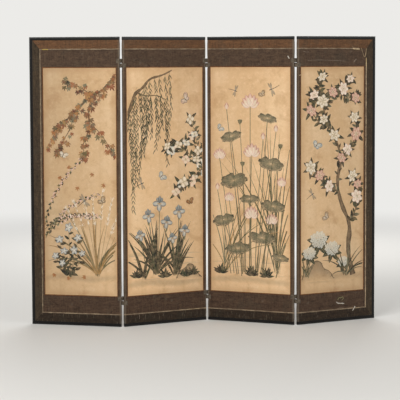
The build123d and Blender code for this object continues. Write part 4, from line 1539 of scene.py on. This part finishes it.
def lotusPond(b):
    # tall lotus leaves, flowers and pods over still water, with reeds
    w = b.width
    lines = [(40, 240, 128), (220, 480, 104), (120, 400, 152), (300, 500, 182), (10, 180, 176),
             (30, 330, 208)]
    waterLines(b, lines)
    b.wash([(0, 70), (200, 84), (w, 60)], 26, "paleInk", 0.35)
    grassBlades(b, (430, 120), 20, 800, 7, ("greyGreen", "olive", "green"), 3, 12, 26)
    grassBlades(b, (90, 110), 14, 520, 6, ("greyGreen", "olive", "ochre"), -4, 14, 30)
    leaves = [(132, 930, 66, 0.46, 16, (214, 120)), (366, 1040, 60, 0.42, -14, (300, 124)),
              (388, 770, 80, 0.5, -12, (290, 116)), (150, 668, 86, 0.52, 10, (206, 108)),
              (402, 520, 76, 0.48, -8, (320, 110)), (250, 560, 62, 0.4, 4, (250, 110)),
              (84, 430, 70, 0.5, 14, (170, 104)), (330, 330, 84, 0.44, -6, (300, 100)),
              (176, 262, 82, 0.42, 4, (200, 96)), (448, 214, 54, 0.4, -10, (420, 96))]
    for leaf in leaves:
        lotusLeaf(b, leaf[:2], *leaf[2:])
    flowers = (
        (256, 1110, 78, (262, 120), 1.0), (58, 800, 62, (150, 112), 0.85), (266, 820, 74, (250, 116), 1.0),
        (262, 452, 68, (262, 108), 0.95), (456, 640, 56, (350, 112), 0.6), (120, 548, 52, (180, 108), 0.8),
        (392, 420, 58, (330, 106), 0.9), (104, 1090, 42, (206, 118), 0.28), (338, 914, 42, (286, 118), 0.28),
        (44, 610, 42, (130, 108), 0.28), (420, 960, 42, (340, 110), 0.28),
    )
    for x, z, size, root, openness in flowers:
        lotusFlower(b, (x, z), size, root, openness)
    for x, z, root in ((190, 1010, (220, 118)), (448, 868, (330, 112)), (206, 760, (226, 112))):
        seedPod(b, (x, z), 34, root)
    for x, z in ((66, 108), (268, 100), (360, 96)):
        leafCluster(b, (x, z), 62, 8, darkLeaves, 90, 160)
    dragonfly(b, (392, 1210), 200, 88)
    dragonfly(b, (160, 1200), -20, 74)
    butterfly(b, (330, 1180), 120, 56, "cream", "ochre", "barkDark")
    butterfly(b, (60, 980), 40, 58, "white", "paleBlue", "slate")


def camelliaTree(b):
    # an old camellia that leans from the lower right, with hydrangeas at its foot
    w = b.width
    b.wash([(-10, 92), (150, 76), (320, 108), (w, 84)], 30, "paleInk", 0.35)
    rock(b, [(8, 84), (24, 140), (72, 156), (96, 196), (142, 188), (160, 142), (206, 128), (232, 82)], 70)
    bends = [(372, 96), (330, 250), (356, 400), (286, 520), (250, 660), (292, 800), (236, 930),
             (170, 1040), (150, 1150)]
    trunk = bough(b, bends, 34, 8, 60)
    limbs = [bough(b, *limb) for limb in (
        ([(352, 420), (400, 500), (410, 600), (372, 690)], 13, 4, 12),
        ([(262, 600), (180, 640), (120, 720), (64, 752)], 14, 4, 12),
        ([(286, 790), (352, 860), (398, 940), (384, 1040)], 12, 4, 12),
        ([(200, 985), (120, 1010), (70, 1090), (84, 1180)], 10, 3, 10),
        ([(160, 1100), (220, 1180), (300, 1214), (352, 1270)], 9, 3, 10),
        ([(150, 1150), (120, 1220), (150, 1290)], 6, 2, 6),
        ([(250, 1194), (330, 1150), (396, 1160)], 5, 2, 6),
    )]
    for line in [trunk[len(trunk) // 2:]] + limbs:
        leafSpray(b, line, 26, 42, darkLeaves + leafTones)
    spots = [
        (70, 748, 46), (134, 700, 38), (398, 566, 44), (368, 690, 40), (392, 940, 46), (330, 848, 38),
        (380, 1040, 36), (72, 1084, 42), (92, 1176, 36), (152, 1138, 46), (226, 1190, 36),
        (300, 1210, 42), (236, 936, 42), (288, 800, 36), (200, 634, 40), (150, 1282, 34),
        (388, 1156, 34), (350, 1268, 30), (160, 1030, 34), (404, 640, 32),
    ]
    pairs = ("white", "wash"), ("pink", "rose"), ("white", "pink")
    for k, (x, z, radius) in enumerate(spots):
        leafCluster(b, (x, z), radius * 1.7, 6, darkLeaves, b.vary(0, 360), 320)
        blossom(b, (x, z), radius, 6, "cream", *pairs[k % 3], b.vary(0, 180), b.vary(0.7, 0.95))
    for x, z, radius in ((126, 318, 58), (220, 262, 50), (60, 240, 44), (300, 180, 36)):
        for turn in (200, 250, 300, 340, 160, 20):
            b.leaf((x, z - radius * 0.3), turn, radius * 1.5, radius * 0.62, "deepGreen", "green",
                   bend=12, vein="greyGreen", across=5)
        hydrangea(b, (x, z), radius, 46)
    grassBlades(b, (322, 92), 14, 200, 7, leafTones, 0, 40, 50)
    grassBlades(b, (40, 96), 10, 170, 6, leafTones, 0, 40, 50)
    butterfly(b, (110, 880), 60, 76, "white", "paleBlue", "slate")
    butterfly(b, (176, 450), 140, 66, "white", "ochre", "bark")
    dragonfly(b, (80, 590), 30, 80)


paintings = {1: autumnMaple, 2: willowStream, 3: lotusPond, 4: camelliaTree}

giltFinishes = {shade: giltFinish(f"gilt_line_{shade}", *light) for shade, light in giltLight.items()}
sharedBacking = backingPaper()
for p in panels.values():
    clothBorders(p)
    pictureFillet(p)
    giltRuns(p, giltFinishes)
    backingSheets(p, sharedBacking)
    left, right, low, high = p.picture
    pictureSize = ((right - left) * mm, (high - low) * mm, silkPaintedLightAndFootTone[p.number])
    pictureSilk(p, silkFinish(f"painted_silk_{p.number}", *pictureSize))
    brush = Brushwork(p, 40 + p.number)
    paintings[p.number](brush)
    brush.pieces(f"panel_{p.number}_painting", pigmentFinish(f"pigment_{p.number}", *pictureSize))
    print(f"panel {p.number} dressed")
crossingStraps()
looseScraps()
print("hinge straps crossed, loose paper hung")

hiddenFinishes = {
    "core_frame": plainWood("core_wood", (206, 176, 132), (172, 138, 96)),
    "lattice_uprights": plainWood("lattice_uprights_wood", (212, 184, 142), (180, 148, 104), True),
    "lattice_crossbars": plainWood("lattice_crossbars_wood", (212, 184, 142), (180, 148, 104)),
    "front_paper": mulberryPaper("core_paper", (226, 210, 176), (204, 184, 146), (178, 152, 112)),
    "rail_pins": forgedIron(),
}
hiddenFinishes["back_paper"] = hiddenFinishes["front_paper"]
for p in panels.values():
    railFinish = lacquer(p)
    for part in ("top_rail", "bottom_rail", "side_rail"):
        hiddenFinishes[part] = railFinish
    for name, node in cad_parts.items():
        part = name.split("_", 2)[2]
        if name.startswith(f"panel_{p.number}_") and part in hiddenFinishes:
            node.data.materials.clear()
            node.data.materials.append(hiddenFinishes[part].material)
print("carried nodes finished")

stageLook = {
    "floor": (226, 224, 219),
    "backdrop": (236, 235, 232),
    "nearFade": 3.2,  # the floor turns into the backdrop between these distances
    "farFade": 8.0,
    "reach": 60.0,
}


def studioFloor():
    # a pale floor that takes the shadow near the screen and turns into the backdrop far out
    mesh = bpy.data.meshes.new("floor")
    reach = stageLook["reach"]
    mesh.from_pydata([(x, y, 0) for x, y in box(-reach, reach, -reach, reach)], [], [(0, 1, 2, 3)])
    floor = bpy.data.objects.new("floor", mesh)
    bpy.context.scene.collection.objects.link(floor)
    look = Finish("floor", 0.85, 0.1, False)
    look.colour(linear(*stageLook["floor"]))
    glow = look.node("ShaderNodeEmission")
    look.feed(glow.inputs["Color"], linear(*stageLook["backdrop"]))
    away = look.node("ShaderNodeVectorMath", operation="LENGTH")
    look.feed(away.inputs[0], look.place)
    far = look.span(away.outputs["Value"], stageLook["nearFade"], stageLook["farFade"])
    seen = look.node("ShaderNodeLightPath").outputs["Is Camera Ray"]
    look.shade(look.times(far, seen), look.shader, glow, "Material Output")
    mesh.materials.append(look.material)


def stand(name, data, place, axes):
    # puts a lamp or the camera at a place; axes are its right, its up and what is behind it
    holder = bpy.data.objects.new(name, data)
    bpy.context.scene.collection.objects.link(holder)
    holder.matrix_world = Matrix.Translation(place) @ Matrix(np.column_stack(axes).tolist()).to_4x4()
    return holder


lightLook = {
    "world": 0.3,
    "aim": (0, 0, 0.9),
    "lamps": (  # name, place, size and power
        ("key", (-2.6, -4.6, 4.4), (3.6, 2.6), 240.0),
        ("fill", (4.2, -4.4, 2.4), (3.0, 3.0), 85.0),
        ("back", (0.8, 5.0, 3.6), (4.0, 3.0), 190.0),
    ),
}


def studioLight():
    # a dim pale world that the camera sees as the backdrop, a large soft key from the upper left
    # and a weaker fill from the right; a third softens the back
    world = bpy.data.worlds.new("studio")
    bpy.context.scene.world = world
    world.use_nodes = True
    look = NodeTree(world.node_tree)
    plain = look.tree.nodes["Background"]
    look.feed(plain.inputs["Color"], (1.0, 1.0, 1.0))
    look.feed(plain.inputs["Strength"], lightLook["world"])
    seen = look.node("ShaderNodeBackground")
    look.feed(seen.inputs["Color"], linear(*stageLook["backdrop"]))
    rays = look.node("ShaderNodeLightPath").outputs
    seenBy = look.math("MAXIMUM", rays["Is Camera Ray"], rays["Is Glossy Ray"])
    seenBy = look.math("MAXIMUM", seenBy, rays["Is Transmission Ray"])
    look.shade(seenBy, plain, seen, "World Output")
    for name, place, size, power in lightLook["lamps"]:
        lamp = bpy.data.lights.new(name, "AREA")
        lamp.shape = "RECTANGLE"
        lamp.size, lamp.size_y = size
        lamp.energy = power
        away = np.array(place) - np.array(lightLook["aim"])
        away = away / np.linalg.norm(away)
        side = np.cross((0, 0, 1), away)
        side = side / np.linalg.norm(side)
        stand(name, lamp, place, (side, np.cross(away, side), away))


cameraLook = {
    "eye": (-0.9799, -10.2374, 1.5785),
    "yaw": -5.2767,  # degrees, anticlockwise from looking along +Y
    "down": 4.6869,
    "roll": -0.2173,
    "focal": 1740.67,  # in pixels of an image this wide
    "imageWidth": 400,
    "sensor": 36.0,
    "farthest": 200,
}


def studioCamera():
    # right, up and back axes from yaw, dip and roll
    yaw, down, roll = (math.radians(cameraLook[k]) for k in ("yaw", "down", "roll"))
    ahead = np.array([-math.sin(yaw) * math.cos(down), math.cos(yaw) * math.cos(down), -math.sin(down)])
    right = np.array([math.cos(yaw), math.sin(yaw), 0.0])
    up = np.cross(right, ahead)
    rolledRight = math.cos(roll) * right + math.sin(roll) * up
    rolledUp = -math.sin(roll) * right + math.cos(roll) * up
    camera = bpy.data.cameras.new("camera")
    camera.sensor_fit = "HORIZONTAL"
    camera.sensor_width = cameraLook["sensor"]
    camera.lens = cameraLook["focal"] / cameraLook["imageWidth"] * cameraLook["sensor"]
    camera.clip_end = cameraLook["farthest"]
    bpy.context.scene.camera = stand("camera", camera, cameraLook["eye"], (rolledRight, rolledUp, -ahead))


studioFloor()
studioLight()
studioCamera()
bpy.context.scene.view_settings.view_transform = "Standard"
print("stage, light and camera set")
